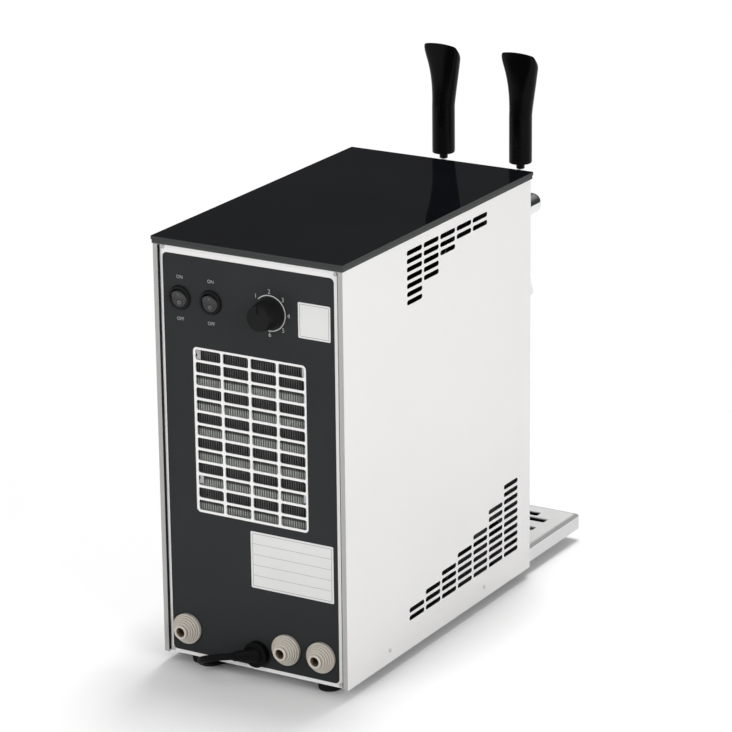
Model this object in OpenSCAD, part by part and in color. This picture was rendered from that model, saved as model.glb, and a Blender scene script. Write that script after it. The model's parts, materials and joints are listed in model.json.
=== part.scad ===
// Under-counter dry beer cooler with two pouring taps, a built-in air pump and a removable drip tray.
// The front with the taps faces -Y, the control panel faces +Y, and Z = 0 is the surface it stands on.

/* [Cabinet] */
// Width across the two side panels
body_w = 200; // [196:1:240]
// Depth from the front panel to the rear edge of the side panels
body_d = 355; // [350:1:400]
// Height of the sheet body, without feet and lid
body_h = 400; // [396:1:440]
// Thickness of the cabinet sheet
sheet_t = 1; // [0.8:0.1:1.2]
// Height of the rubber feet
foot_h = 10; // [9:0.5:14]
// Diameter of the rubber feet
foot_d = 24; // [18:1:28]
// Distance of the foot centres from the side of the body
foot_inset_x = 31; // [24:1:32]
// Distance of the foot centres from the front and rear of the body
foot_inset_y = 20; // [16:1:24]
// Width of the rear-facing fold of the side panels
rear_fold = 4.7; // [3.5:0.1:6]
// How far the back panel sits inside the rear edges
back_recess = 3; // [2.5:0.1:6]

/* [Lid] */
// Thickness of the frame under the top plate
lid_frame_t = 3.4; // [2:0.1:6]
// Thickness of the dark top plate
glass_t = 3.2; // [3:0.1:6]
// Overhang of the top plate at the sides and rear
lid_over = 1.6; // [0.5:0.1:4]
// Overhang of the top plate at the front
lid_over_front = 2.9; // [0.5:0.1:8]

/* [Vents and grille] */
// Length of one side vent slot
vent_l = 28.2; // [20:0.2:29]
// Width of one side vent slot
vent_w = 4.8; // [2:0.1:5.2]
// Distance between slot columns
vent_pitch_y = 31.1; // [30:0.1:32]
// Distance between slot rows
vent_pitch_z = 7.85; // [6:0.05:9]
// Columns of the rear grille
grille_cols = 4; // [2:1:5]
// Rows of the rear grille
grille_rows = 13; // [8:1:14]
// Distance between grille columns
grille_pitch_x = 29.6; // [20:0.1:30]
// Distance between grille rows
grille_pitch_z = 12.15; // [10:0.05:12.6]
// Width of the grille bars
grille_bar = 2.3; // [1.5:0.1:4]

/* [Controls] */
// Diameter of the round rocker switch bezels
switch_d = 23.5; // [22.5:0.5:28]
// Distance between the two switches
switch_pitch = 33.3; // [30:0.1:40]
// Diameter of the thermostat knob at its foot
knob_d = 29.5; // [24:0.5:30]
// Height of the thermostat knob
knob_h = 19.5; // [16:0.5:28]

/* [Hose fittings] */
// Outside diameter of the hose that the fittings take
tube_d = 9.5; // [8:0.1:9.5]
// Diameter of the fitting flange on the panel
fitting_d = 29.5; // [26:0.5:32]

/* [Taps] */
// Distance between the two taps
tap_pitch = 87; // [84:1:96]
// Distance from the front panel to the handle axis
tap_reach = 85; // [80:1:110]
// Diameter of the tap barrel
barrel_d = 21; // [20:0.5:24]
// Height of a tap handle
handle_h = 113; // [90:0.5:140]
// Half the width of a handle at its top
handle_top_r = 20.5; // [16:0.5:26]
// Length of the pouring spout along its axis
spout_l = 97; // [70:1:110]

/* [Drip tray] */
// Width of the drip tray
tray_w = 191; // [150:1:194]
// Depth of the drip tray
tray_d = 116; // [90:0.5:116]
// Height of the drip tray
tray_h = 16; // [12:0.5:24]

/* [Mains lead] */
// Diameter of the mains lead
cord_d = 6.5; // [6:0.1:6.6]
// Loops in each layer of the stored coil
coil_turns = 3; // [2:1:4]

/* [Hidden] */
$fn = 48;
// Gaps between fixed pieces, in running fits, round pipes, in panel holes and under seated pieces
fit_gap = 0.15;
run_gap = 0.05;
tube_gap = 0.12;
hole_gap = 0.3;
seat_gap = 0.3;
cut = 1;

// Main planes of the cabinet
z_body = foot_h;
z_top = z_body + body_h;
y_back = body_d / 2;
y_front = -body_d / 2;
panel_y = y_back - back_recess;
film_t = 0.4;
face_y = panel_y + film_t;
panel_in = panel_y - sheet_t;
web_in = body_w / 2 - sheet_t;
edge_gap = 0.8;
back_half = body_w / 2 - rear_fold - edge_gap;
ledge_w = 10;
ledge_y = panel_in - fit_gap - sheet_t;
pan_half = web_in - fit_gap;
pan_y0 = y_front + 2 * sheet_t + 2 * fit_gap;
pan_y1 = ledge_y - fit_gap;
pan_flange = 18;
floor_z = z_body + sheet_t;
foot_taper = 3;
foot_stud_r = 3;
foot_stud_up = 3;

// Lid
lid_round = 1.2;
lid_step = 0.6;
lid_rim = 14;

// Side vents: slots in each column, counted from the rear
upper_vents = [7, 5, 3, 2, 2];
lower_vents = [2, 3, 4, 5, 6, 8, 10];
vent_from_rear = 128.7;
vent_from_top = 12.8;
vent_from_bottom = 30.6;

// Screws
screw_r = 1.5;
screw_tail = 4;
screw_head_r = 1.9;
screw_head_t = 1.4;
screw_socket = 2;
socket_deep = 0.9;
screw_in = 3;
screw_up = 3.5;
screw_x = back_half - screw_in;
screw_z = [z_body + screw_up, z_top - screw_up];
side_screw_y = [100, -83];
side_screw_up = 12;
side_head_t = 0.9;

// Taps: stations along the barrel, counted from the handle axis, positive towards the cabinet
barrel_r = barrel_d / 2;
tap_y = y_front - tap_reach;
tap_z = z_top - 58;
tap_nose = 22;
cap_spigot = 5;
shank_flange_t = 4;
shank_flange_r = 18;
shank_hex_t = 8;
shank_hex = 26;
shank_nut = 24;
shank_nut_t = 5;
shank_r = 8;
shank_in = 14;
barrel_end = tap_reach - shank_flange_t - shank_hex_t;
guide_r = 6;
guide_0 = -11;
guide_1 = 6;
rod_r = 2.5;
slot_gap = 0.4;
slot_lead = 3;
slot_floor = 1;
stroke = 9;
seat_0 = 28;
seat_t = 3;
seat_r = 4.25;
chamber_r = barrel_r - 3;
head_t = 5.7;
head_r = chamber_r - 1.3;
spout_root = 18.5;
spout_tilt = 20;
spout_r = 6.5;
spout_bore = 4.5;
spout_collar = 9;
spout_collar_r = spout_r + 2;
pivot_up = 14;
hub_r = 5.5;
hub_w = 8;
hub_gap = 0.6;
ear_r = hub_r + 1;
ear_t = 4;
ear_out = hub_w / 2 + fit_gap + ear_t;
pin_r = 2;
finger_r = 2;
finger_ball_r = 3;
finger_gap = 1.2;
stem_r = 3.5;
stud_r = 3;
stud_l = 14;
flow_back = 14;
flow_y = barrel_end - flow_back;
flow_stem_r = 3;
flow_boss_r = 6;
flow_boss_x = barrel_r + 5.5;
flow_arm_t = 3;
flow_arm_w = 7;
flow_hub_r = 5;
flow_arm_l = 26;

// Handle form
handle_z = z_top - 10.5;
handle_r = 11.4;
handle_deep = 8.2;
handle_bow = 2.6;
handle_crown = 2.5;
handle_drop = 11;
handle_lean = 3;
handle_square = 0.62;
handle_sharp = 0.9;
handle_sides = 24;
flare_start = 0.42;
flare_power = 1.5;
slope_start = 0.55;
fall_power = 1.5;
neck_r = 4.2;
neck_l = 6;

// Drip tray and its bracket
tray_gap = 0.2;
bracket_t = 1;
bracket_w = 120;
tray_wall = 1;
tray_round = 2;
tray_round_in = 0.5;
tray_edge = 2.5;
rim_w = tray_edge + tray_wall;
rim_h = tray_edge + tray_wall;
tray_z = z_body + 2;
tray_y1 = y_front - tray_gap - bracket_t;
tray_y0 = tray_y1 - tray_d;
grate_t = 1.2;
grate_gap = 0.4;
grate_slot_w = 10;
grate_slot_pitch = 14;
grate_pair_pitch = 39;
grate_slot_round = 2;
grate_front = 22.75;
grate_rear = 8;
grate_bar = 4;
grate_side = 19.5;
grate_front_side = 34.5;
leg_in = 9;
leg_r = 2.5;

// Reach of the whole object, which centres it on the origin
knob_gap = 0.6;
front_reach = max(-tap_y + tap_nose + barrel_r, -tray_y0);
rear_reach = face_y + knob_gap + knob_h;
frame_y = (front_reach - rear_reach) / 2;

// Control panel
switch_z = z_top - 49;
switch_body_r = 10;
switch_l = 20;
bezel_t = 2.6;
bezel_taper = 1;
tab_x = 5;
tab_w = 0.8;
tab_l = 8;
rocker_r = 8;
rocker_gap = 0.9;
rocker_y = face_y - 0.5;
rocker_room = 8.5;
rocker_pin_r = 1;
rocker_pin_l = 1.4;
rocker_in = 2.2;
rocker_edge = 4.2;
rocker_valley = 2.2;
rocker_tilt = 10;
knob_x = -22;
knob_z = z_top - 50;
knob_taper = 3;
mark_w = 1.8;
mark_deep = 0.8;
mark_from = 4.5;
bush_r = 5;
stat_w = 34;
stat_d = 32;
stat_nut = 14;
stat_nut_t = 2.2;
stat_shaft_r = 3;
shaft_l = 14;
sense_r = 1.1;
grille_x = 1;
grille_from_top = 174;
grille_z = z_top - grille_from_top;
grille_round = 2;
grille_w = grille_cols * grille_pitch_x + grille_bar;
grille_h = grille_rows * grille_pitch_z + grille_bar;
film_in = 4;
switch_in = 18;
film_half = back_half - film_in;
switch_x = grille_x + film_half - switch_in - switch_pitch;
film_low = z_body + 3.9;
film_high = z_top - 8;
film_round = 4.5;

// Hose fittings
fitting_share = [0.75, -0.337, -0.711];
fitting_x = [for (f = fitting_share) f * body_w / 2];
fitting_z = z_body + 27;
thread_r = 9.75;
thread_l = 24;
flange_t = 3.5;
fitting_rings = 5;
fitting_rise = 1.75;
fitting_bevel = 0.25;
fitting_groove = 0.8;
fitting_groove_in = 1.2;
fitting_nut = 27;
fitting_nut_t = 6;
mouth_y = face_y + flange_t + (fitting_rings - 1) * fitting_rise;
collet_r = tube_d / 2 + 1.1;
collet_l = 8.5;
collet_lip = 1.6;
collet_lip_r = collet_r + 0.7;
fitting_top_r = collet_r + 2.9;
fitting_step = (fitting_d / 2 - fitting_top_r) / (fitting_rings - 1);

// Condenser and fan
cond_gap = 3;
cond_in = 36;
cond_half = body_w / 2 - cond_in;
cond_d = 36;
cond_y1 = panel_in - cond_gap;
cond_y0 = cond_y1 - cond_d;
cond_tubes = 7;
cond_pitch = 2 * grille_pitch_z;
cond_drop = 2;
cond_z0 = grille_z - cond_pitch * (cond_tubes - 1) / 2 - cond_drop;
cond_top = cond_z0 + cond_pitch * (cond_tubes - 1);
cond_row_in = 9;
cond_rows = [cond_y1 - cond_row_in, cond_y0 + cond_row_in];
cond_tube_r = 4;
cond_edge = 13;
cond_low = cond_z0 - cond_edge;
cond_high = cond_top + cond_edge;
bend_out = 4;
stub_out = 10;
cond_turn = cond_half + bend_out + cond_pitch / 2;
cond_stub = cond_half + stub_out;
fin_t = 0.4;
fin_pitch = 2.5;
end_plate_t = 1.2;
lug_w = 10;
lug_h = 10;
lug_low = 47;
lug_high = 72;
lug_z = [grille_z - lug_low, grille_z + lug_high];
fan_y1 = cond_y0 - seat_gap;
fan_in = 7;
fan_r = cond_half - fan_in;
fan_gap = 2;
fan_depth = 24;
fan_z = grille_z;
blades = 5;
blade_t = 1.6;
blade_chord = 30;
blade_pitch = 35;
hub_d = 28;
shroud_t = 1.5;
shroud_depth = 14;
shaft_r = 2;
motor_r = 26;
motor_l = 38;
motor_gap = 3;
motor_y1 = fan_y1 - fan_gap - fan_depth - motor_gap;
arm_t = 4;
arm_w = 8;
arm_root = 2;
post_r = fan_r + 10;

// Compressor on its rubber mounts
comp_y = 18;
comp_r = 58;
comp_round = 24;
comp_plate_z = floor_z + 15;
comp_plate_t = 3;
comp_low = comp_plate_z + comp_plate_t;
comp_high = comp_low + 122;
comp_foot_x = 54;
comp_foot_y = 58;
comp_ear = 9;
comp_pin_r = 4;
comp_mount_r = 8;
comp_seam = 2;
cover_w = 48;
cover_d = 16;
cover_h = 46;
cover_up = 44;

// Cold block in its insulation
block_w = 112;
block_d = 62;
block_room = 220;
block_h = body_h - block_room;
foam_t = 18;
foam_gap = 0.5;
bend_room = 18;
foam_w = block_w + 2 * (foam_t + foam_gap);
foam_d = block_d + 2 * (foam_t + foam_gap);
foam_y0 = pan_y0;
block_y = foam_y0 + foam_d / 2;
block_z = z_body + 108;
foam_z0 = block_z - bend_room - foam_t;
foam_z1 = block_z + block_h + bend_room + foam_t;
coil_r = 4;
coil_out = 1;
coil_row = 19;
beer_runs = 5;
beer_pitch = tap_pitch / (beer_runs - 1);
beer_y = [block_y - coil_row, block_y + coil_row];
evap_runs = 4;
evap_x = beer_pitch * (evap_runs - 1) / 2;
pipe_out = 6;
evap_end_z = foam_z1 + pipe_out;
turn_high = block_z + block_h + coil_out + beer_pitch / 2;
turn_low = block_z - coil_out - beer_pitch / 2;
inlet_z = foam_z0 - pipe_out;
sense_z = block_z + 120;

// Pipework
line_x = body_w / 2 - 12;
line_r = 3;
line_bend = 8;
line_step = 18;
hot_z = comp_low + 92;
drier_y = 104;
drier_z = 150;
drier_r = 9;
drier_cone = 14;
drier_l = 92;
cap_r = 1.25;
cap_jog = 7;
cap_z = drier_z - 40;
hose_end = panel_in - 18;
hose_bend = 10;
hose_rise = -45;
hose_z = inlet_z - 16;
hose_x = line_x - 13;
hose_turns = [comp_y + 110, comp_y + 90];

// Air pump
pump_in = 62;
pump_x = body_w / 2 - pump_in;
pump_y = block_y + 10;
pump_l = 78;
pump_r = 18;
pump_z = floor_z + pump_r + 4;
pump_head = 20;

// Cord grip: its sleeve points sideways towards the left of the cabinet
gland_share = -0.02;
gland_x = gland_share * body_w / 2;
gland_z = z_body + 17;
gland_r = 12.3;
gland_nut = 22.5;
gland_t = 6.1;
gland_thread_r = 8;
gland_in = 14;
gland_sleeve = 20;
gland_ball_r = 7.5;
gland_ball_in = 1;
gland_sleeve_r = 7;
gland_tip_wall = 1;
gland_way = [0.8, 0.6, 0];
gland_root = [gland_x, face_y + gland_t, gland_z];
gland_tip = gland_root + gland_sleeve * gland_way;

// Mains lead: hand-laid points from the grip down to the floor and under the body, then along its left side
cord_r = cord_d / 2;
lead_drop = [
    [0, 0, 0], [5, 3.75, 0], [13, 7.5, -1], [22.5, 8.5, -3.5], [31, 5.5, -7.5], [36.5, -1.5, -12.5],
    [38, -11, -18.2]
];
lead_floor = [
    [51, 171.5, 5], [48, 160.5, 3.7], [43.5, 149, 3.5], [40.5, 136, 3.5], [40, 121, 3.5], [44, 107, 3.5],
    [52, 94, 3.5], [62, 82, 3.5], [73, 70, 3.5], [84, 58, 3.5], [95, 46, 3.5],
    [105, 33, 3.6], [113, 18, 3.9]
];
lead_side = [[19.5, 2, 4.4], [21, -15, 4.8], [21, -32, 5], [21, -48, 5], [21, -60, 5]];
// The points were laid for a lead that falls this far, and for this half depth and half width of the body
lead_fall = 22;
lead_low = 5;
lead_half_d = 177.5;
lead_half_w = 100;
rear_shift = y_back - lead_half_d;
lead_spread = body_w / 2 / lead_half_w;
lead_sides = 10;
coil_sides = 6;
lead_route = concat(
    [for (p = lead_drop) gland_tip + [p[0] * lead_spread, p[1], p[2] * (gland_z - lead_low) / lead_fall]],
    [
        for (i = [0 : len(lead_floor) - 1])
            let (f = i / (len(lead_floor) - 1))
            [lead_floor[i][0] * lead_spread, lead_floor[i][1] + rear_shift * (1 - f), lead_floor[i][2]]
    ],
    [for (p = lead_side) [body_w / 2 + p[0], p[1], p[2]]]
);

// Stored coil at the end of the lead, its tie and the plug
coil_gap = 0.6;
coil_pitch = cord_d + coil_gap;
coil_mid_r = 6 * cord_d;
coil_in_r = coil_mid_r - coil_pitch * coil_turns / 2;
coil_start = lead_route[len(lead_route) - 1];
coil_tail = cord_d;
coil_steps = 24;
coil_centre = coil_start + [coil_in_r + coil_pitch * coil_turns, -coil_tail, 0];
coil_span = coil_turns * 360;
tie_t = 1.2;
tie_w = 9;
tie_gap = 0.35;
plug_r = 18.5;
plug_half_h = 14;
plug_rise = plug_half_h - coil_start[2] - coil_pitch;
plug_tail = 40;
plug_tail_r = 8;
plug_neck_wall = 1.3;
plug_l = 42;
plug_pin_r = 2.4;
plug_pin_l = 19;
plug_pin_x = 9.5;

// Moves a piece from the cabinet's own frame, centred on the body, to the part's frame
module place() translate([0, frame_y, 0]) children();

// Round bars along the axes
module rod_x(r, x0, x1, y, z) translate([x0, y, z]) rotate([0, 90, 0]) cylinder(r = r, h = x1 - x0);
module rod_y(r, y0, y1, x, z) translate([x, y1, z]) rotate([90, 0, 0]) cylinder(r = r, h = y1 - y0);
module cone_y(r0, r1, y0, y1, x, z)
    translate([x, y1, z]) rotate([90, 0, 0]) cylinder(r1 = r1, r2 = r0, h = y1 - y0);
module hex_y(flats, y0, y1, x, z)
    translate([x, y1, z]) rotate([90, 0, 0]) cylinder(r = flats / sqrt(3), h = y1 - y0, $fn = 6);
module box(x0, x1, y0, y1, z0, z1) translate([x0, y0, z0]) cube([x1 - x0, y1 - y0, z1 - z0]);

// Plates cut from a flat outline: in a plane across Y, or in a plane across X
module plate_xz(y0, t) translate([0, y0 + t, 0]) rotate([90, 0, 0]) linear_extrude(t) children();
module plate_yz(x0, t) translate([x0, 0, 0]) rotate([90, 0, 90]) linear_extrude(t) children();

// Flat outlines
module rounded(w, h, r) {
    square([w - 2 * r, h], center = true);
    square([w, h - 2 * r], center = true);
    for (x = [-1, 1], y = [-1, 1]) translate([x * (w / 2 - r), y * (h / 2 - r)]) circle(r);
}
module slot(l, w) {
    square([l - w, w], center = true);
    for (s = [-1, 1]) translate([s * (l - w) / 2, 0]) circle(d = w);
}
module grid_of_openings(r) {
    for (i = [0 : grille_cols - 1], k = [0 : grille_rows - 1])
        translate([
            grille_x + (i - (grille_cols - 1) / 2) * grille_pitch_x,
            grille_z + (k - (grille_rows - 1) / 2) * grille_pitch_z
        ])
        rounded(grille_pitch_x - grille_bar, grille_pitch_z - grille_bar, r);
}

// Pipe along a route of right-angled corners, with round bends
function unit(v) = v / norm(v);
function corner_r(p, i, bend) = i == 0 || i == len(p) - 1
    ? 0 : min(bend, norm(p[i] - p[i - 1]) / 2, norm(p[i + 1] - p[i]) / 2);
module straight(a, b, r) {
    d = b - a;
    translate(a) rotate([0, acos(d[2] / norm(d)), atan2(d[1], d[0])]) cylinder(r = r, h = norm(d));
}
module elbow(p, u, v, bend, r) {
    c = p + bend * (v - u);
    w = cross(u, v);
    multmatrix([
        [-v[0], u[0], w[0], c[0]],
        [-v[1], u[1], w[1], c[1]],
        [-v[2], u[2], w[2], c[2]],
        [0, 0, 0, 1]
    ]) rotate_extrude(angle = 90) translate([bend, 0]) circle(r);
}
module pipe(p, r, bend) {
    for (i = [0 : len(p) - 2]) {
        u = unit(p[i + 1] - p[i]);
        a = p[i] + u * corner_r(p, i, bend);
        b = p[i + 1] - u * corner_r(p, i + 1, bend);
        if (norm(b - a) > 0.01) straight(a, b, r);
    }
    for (i = [1 : 1 : len(p) - 2])
        elbow(p[i], unit(p[i] - p[i - 1]), unit(p[i + 1] - p[i]), corner_r(p, i, bend), r);
}

// Tube swept along a free route as one closed mesh
function heading(p, i) = unit(p[min(i + 1, len(p) - 1)] - p[max(i - 1, 0)]);
function ring(c, t, r, n) =
    let (s = unit(cross(t, [0, 0, 1])), u = cross(s, t))
    [for (k = [0 : n - 1]) c + r * (cos(360 * k / n) * s + sin(360 * k / n) * u)];
function skin(m, n) = [
    for (i = [0 : m - 2], k = [0 : n - 1])
        let (a = i * n + k, b = i * n + (k + 1) % n) each [[a, b, a + n], [b, b + n, a + n]]
];
function fan(first, n, flip) = [
    for (k = [1 : n - 2]) flip ? [first, first + k + 1, first + k] : [first, first + k, first + k + 1]
];
module sweep(p, r, n) {
    points = [for (i = [0 : len(p) - 1]) each ring(p[i], heading(p, i), r, n)];
    polyhedron(points, concat(skin(len(p), n), fan(0, n, true), fan((len(p) - 1) * n, n, false)));
}

// Cabinet

module base_pan() color("silver") place() difference() {
    union() {
        box(-pan_half, pan_half, pan_y0, pan_y1, z_body, floor_z);
        for (x0 = [-pan_half, pan_half - sheet_t])
            box(x0, x0 + sheet_t, pan_y0 + ledge_w, pan_y1 - ledge_w, z_body, z_body + pan_flange);
    }
    at_feet() translate([0, 0, z_body - cut]) cylinder(r = foot_stud_r + run_gap, h = sheet_t + 2 * cut);
    for (y = side_screw_y)
        rod_x(screw_r + run_gap, -pan_half - cut, pan_half + cut, y, z_body + side_screw_up);
}

module at_feet()
    for (x = [-1, 1], y = [-1, 1])
        translate([x * (body_w / 2 - foot_inset_x), y * (body_d / 2 - foot_inset_y), 0]) children();

module feet() color("#1b1b1c") place() at_feet() {
    cylinder(d1 = foot_d - foot_taper, d2 = foot_d, h = z_body);
    cylinder(r = foot_stud_r, h = floor_z + foot_stud_up);
}

module vent_columns(counts, z0, step)
    for (c = [0 : len(counts) - 1], k = [0 : counts[c] - 1])
        translate([y_back - vent_from_rear - c * vent_pitch_y, z0 + k * step]) slot(vent_l, vent_w);

module side_panel() difference() {
    union() {
        plate_yz(web_in, sheet_t) difference() {
            translate([y_front, z_body]) square([body_d, body_h]);
            vent_columns(upper_vents, z_top - vent_from_top, -vent_pitch_z);
            vent_columns(lower_vents, z_body + vent_from_bottom, vent_pitch_z);
        }
        fold_x = body_w / 2 - rear_fold;
        box(fold_x, body_w / 2, y_back - sheet_t, y_back, z_body, z_top);
        box(fold_x, fold_x + sheet_t, ledge_y, y_back, z_body, z_top);
        box(fold_x - ledge_w, fold_x + sheet_t, ledge_y, ledge_y + sheet_t, z_body, z_top);
        box(web_in - ledge_w, body_w / 2, y_front + sheet_t + fit_gap, y_front + 2 * sheet_t + fit_gap,
            z_body, z_top);
        box(web_in - ledge_w, body_w / 2, pan_y0, ledge_y - fit_gap, z_top - sheet_t, z_top);
    }
    for (z = screw_z) rod_y(screw_r + run_gap, ledge_y - cut, ledge_y + sheet_t + cut, screw_x, z);
    for (y = side_screw_y)
        rod_x(screw_r + run_gap, web_in - cut, body_w / 2 + cut, y, z_body + side_screw_up);
}
module left_side_panel() color("#dcdcdc") place() side_panel();
module right_side_panel() color("#dcdcdc") place() mirror([1, 0, 0]) side_panel();

module front_panel() color("#d4d4d4") place() plate_xz(y_front, sheet_t) difference() {
    translate([-web_in + fit_gap, z_body]) square([2 * (web_in - fit_gap), body_h]);
    for (s = [-1, 1]) translate([s * tap_pitch / 2, tap_z]) circle(shank_r + hole_gap);
}

// Holes of the control panel, a little wider than what passes through them
module panel_holes(gap) {
    for (i = [0, 1]) translate([switch_x + i * switch_pitch, switch_z]) circle(switch_body_r + gap);
    translate([knob_x, knob_z]) circle(bush_r + gap);
    for (x = fitting_x) translate([x, fitting_z]) circle(thread_r + gap);
    translate([gland_x, gland_z]) circle(gland_thread_r + gap);
}

module back_panel() color("#e4e4e2") place() plate_xz(panel_in, sheet_t) difference() {
    translate([-back_half, z_body + fit_gap]) square([2 * back_half, body_h - 2 * fit_gap]);
    grid_of_openings(grille_round);
    panel_holes(hole_gap);
    for (s = [-1, 1], z = screw_z) translate([s * screw_x, z]) circle(screw_r + run_gap);
}

module back_film() color("#2f3133") place() plate_xz(panel_y, film_t) difference() {
    translate([grille_x, (film_low + film_high) / 2])
        rounded(2 * film_half, film_high - film_low, film_round);
    translate([grille_x, grille_z]) rounded(grille_w, grille_h, grille_round + grille_bar);
    panel_holes(2 * hole_gap);
}

module lid_plate(inset, t)
    translate([0, (y_back + lid_over - lid_over_front + y_front) / 2, 0])
        linear_extrude(t)
            rounded(
                body_w + 2 * (lid_over - inset),
                body_d + lid_over + lid_over_front - 2 * inset,
                lid_round
            );

module lid_frame() color("#1c1d20") place() translate([0, 0, z_top]) difference() {
    lid_plate(lid_step, lid_frame_t);
    translate([0, 0, -cut]) lid_plate(lid_rim, lid_frame_t + 2 * cut);
}
module glass_top() color("#111215") place() translate([0, 0, z_top + lid_frame_t]) lid_plate(0, glass_t);

module panel_screws() color("#c4c4c4") place() {
    head_y = panel_y + screw_head_t;
    for (s = [-1, 1], z = screw_z) difference() {
        union() {
            rod_y(screw_r, ledge_y - screw_tail, panel_y, s * screw_x, z);
            rod_y(screw_head_r, panel_y, head_y, s * screw_x, z);
        }
        hex_y(screw_socket, head_y - socket_deep, head_y + cut, s * screw_x, z);
    }
    for (s = [0, 1], y = side_screw_y) mirror([s, 0, 0]) {
        rod_x(screw_r, pan_half - screw_tail, body_w / 2, y, z_body + side_screw_up);
        rod_x(screw_head_r, body_w / 2, body_w / 2 + side_head_t, y, z_body + side_screw_up);
    }
}

// Condenser and fan

module tube_holes()
    for (y = cond_rows, k = [0 : cond_tubes - 1])
        translate([y, cond_z0 + k * cond_pitch]) circle(cond_tube_r + tube_gap);

module condenser_fins() color("#9a9c9e") place() {
    count = floor(2 * (cond_half - fin_pitch / 2) / fin_pitch);
    for (i = [0 : count - 1])
        plate_yz((i - (count - 1) / 2) * fin_pitch - fin_t / 2, fin_t) difference() {
            translate([cond_y0, cond_low]) square([cond_d, cond_high - cond_low]);
            tube_holes();
        }
}

// Runs go down the rear row and come back up the front row
cond_runs = [
    for (i = [0 : 2 * cond_tubes - 1])
        let (
            row = i < cond_tubes ? cond_rows[0] : cond_rows[1],
            k = i < cond_tubes ? cond_tubes - 1 - i : i - cond_tubes,
            s = i % 2 == 0 ? 1 : -1
        )
        for (end = [s, -s]) [end * cond_turn, row, cond_z0 + k * cond_pitch]
];
cond_out = len(cond_runs) - 1;
cond_end = sign(cond_runs[cond_out][0]) * cond_stub;
cond_route = [
    for (i = [0 : cond_out])
        i == 0 ? [cond_stub, cond_runs[0][1], cond_runs[0][2]]
        : i == cond_out ? [cond_end, cond_runs[i][1], cond_runs[i][2]]
        : cond_runs[i]
];
module condenser_coil() color("#c4c6c8") place() pipe(cond_route, cond_tube_r, cond_pitch / 2);

module condenser_end_plates() color("#c9cacb") place() difference() {
    for (s = [0, 1]) mirror([s, 0, 0]) {
        plate_yz(cond_half, end_plate_t) difference() {
            union() {
                translate([cond_y0, cond_low]) square([cond_d, cond_high - cond_low]);
                for (z = lug_z)
                    translate([cond_y1 - cut, z - lug_h / 2]) square([cond_gap - seat_gap + cut, lug_h]);
            }
            tube_holes();
        }
        for (z = lug_z)
            box(cond_half - lug_w, cond_half + end_plate_t, panel_in - seat_gap - end_plate_t,
                panel_in - seat_gap, z - lug_h / 2, z + lug_h / 2);
    }
    for (s = [-1, 1], z = lug_z)
        rod_y(screw_r, panel_in - cond_gap, panel_in, s * (cond_half - lug_w / 2), z);
}

module fan_shroud() color("#26272a") place() difference() {
    union() {
        box(-cond_half - end_plate_t, cond_half + end_plate_t, fan_y1 - shroud_t, fan_y1,
            cond_low, cond_high);
        rod_y(fan_r + fan_gap + shroud_t, fan_y1 - shroud_depth, fan_y1, 0, fan_z);
    }
    rod_y(fan_r + fan_gap, fan_y1 - shroud_depth - cut, fan_y1 + cut, 0, fan_z);
}

module fan_motor() color("#3a3b3d") place() {
    rod_y(motor_r, motor_y1 - motor_l, motor_y1, 0, fan_z);
    rod_y(shaft_r, motor_y1 - cut, fan_y1 - fan_gap, 0, fan_z);
    for (a = [45 : 90 : 315]) translate([0, 0, fan_z]) rotate([0, a, 0]) {
        box(motor_r - arm_root, post_r, motor_y1 - arm_t, motor_y1, -arm_w / 2, arm_w / 2);
        box(post_r - arm_t, post_r, motor_y1 - arm_t, fan_y1 - shroud_t - fit_gap, -arm_w / 2, arm_w / 2);
    }
}

module fan_blade() color("#1f2022") place() difference() {
    union() {
        rod_y(hub_d / 2, fan_y1 - fan_gap - fan_depth, fan_y1 - fan_gap, 0, fan_z);
        intersection() {
            rod_y(fan_r, fan_y1 - fan_gap - fan_depth, fan_y1 - fan_gap, 0, fan_z);
            for (i = [0 : blades - 1])
                translate([0, fan_y1 - fan_gap - fan_depth / 2, fan_z]) rotate([0, i * 360 / blades, 0])
                    rotate([blade_pitch, 0, 0])
                        box(0, fan_r + cut, -blade_t / 2, blade_t / 2, -blade_chord / 2, blade_chord / 2);
        }
    }
    rod_y(shaft_r + run_gap, fan_y1 - fan_gap - fan_depth - cut, fan_y1 + cut, 0, fan_z);
}

// Compressor and its pipework

module compressor() color("#17181a") place() translate([0, comp_y, 0]) {
    rotate_extrude() {
        translate([0, comp_low]) square([comp_r - comp_round, comp_high - comp_low]);
        translate([0, comp_low + comp_round]) square([comp_r, comp_high - comp_low - 2 * comp_round]);
        for (z = [comp_low + comp_round, comp_high - comp_round])
            translate([comp_r - comp_round, z]) circle(comp_round);
        translate([comp_r - cut, (comp_low + comp_high) / 2 - comp_seam])
            square([comp_seam + cut, 2 * comp_seam]);
    }
    difference() {
        box(-comp_foot_x - comp_ear, comp_foot_x + comp_ear,
            -comp_foot_y - comp_ear, comp_foot_y + comp_ear, comp_plate_z, comp_low);
        for (x = [-1, 1], y = [-1, 1]) translate([x * comp_foot_x, y * comp_foot_y, comp_plate_z - cut])
            cylinder(r = comp_pin_r + tube_gap, h = comp_plate_t + 2 * cut);
    }
}

module compressor_mounts() color("#202021") place() translate([0, comp_y, 0])
    for (x = [-1, 1], y = [-1, 1]) translate([x * comp_foot_x, y * comp_foot_y, floor_z]) {
        cylinder(r = comp_mount_r, h = comp_plate_z - floor_z);
        cylinder(r = comp_pin_r, h = comp_low + comp_seam - floor_z);
    }

module terminal_cover() color("#d8d5cc") place() translate([0, comp_y, 0]) difference() {
    translate([0, 0, comp_low + cover_up])
        box(-cover_w / 2, cover_w / 2, -comp_r - cover_d, -comp_r / 2, 0, cover_h);
    cylinder(r = comp_r + comp_seam + seat_gap, h = z_top);
}

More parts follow.
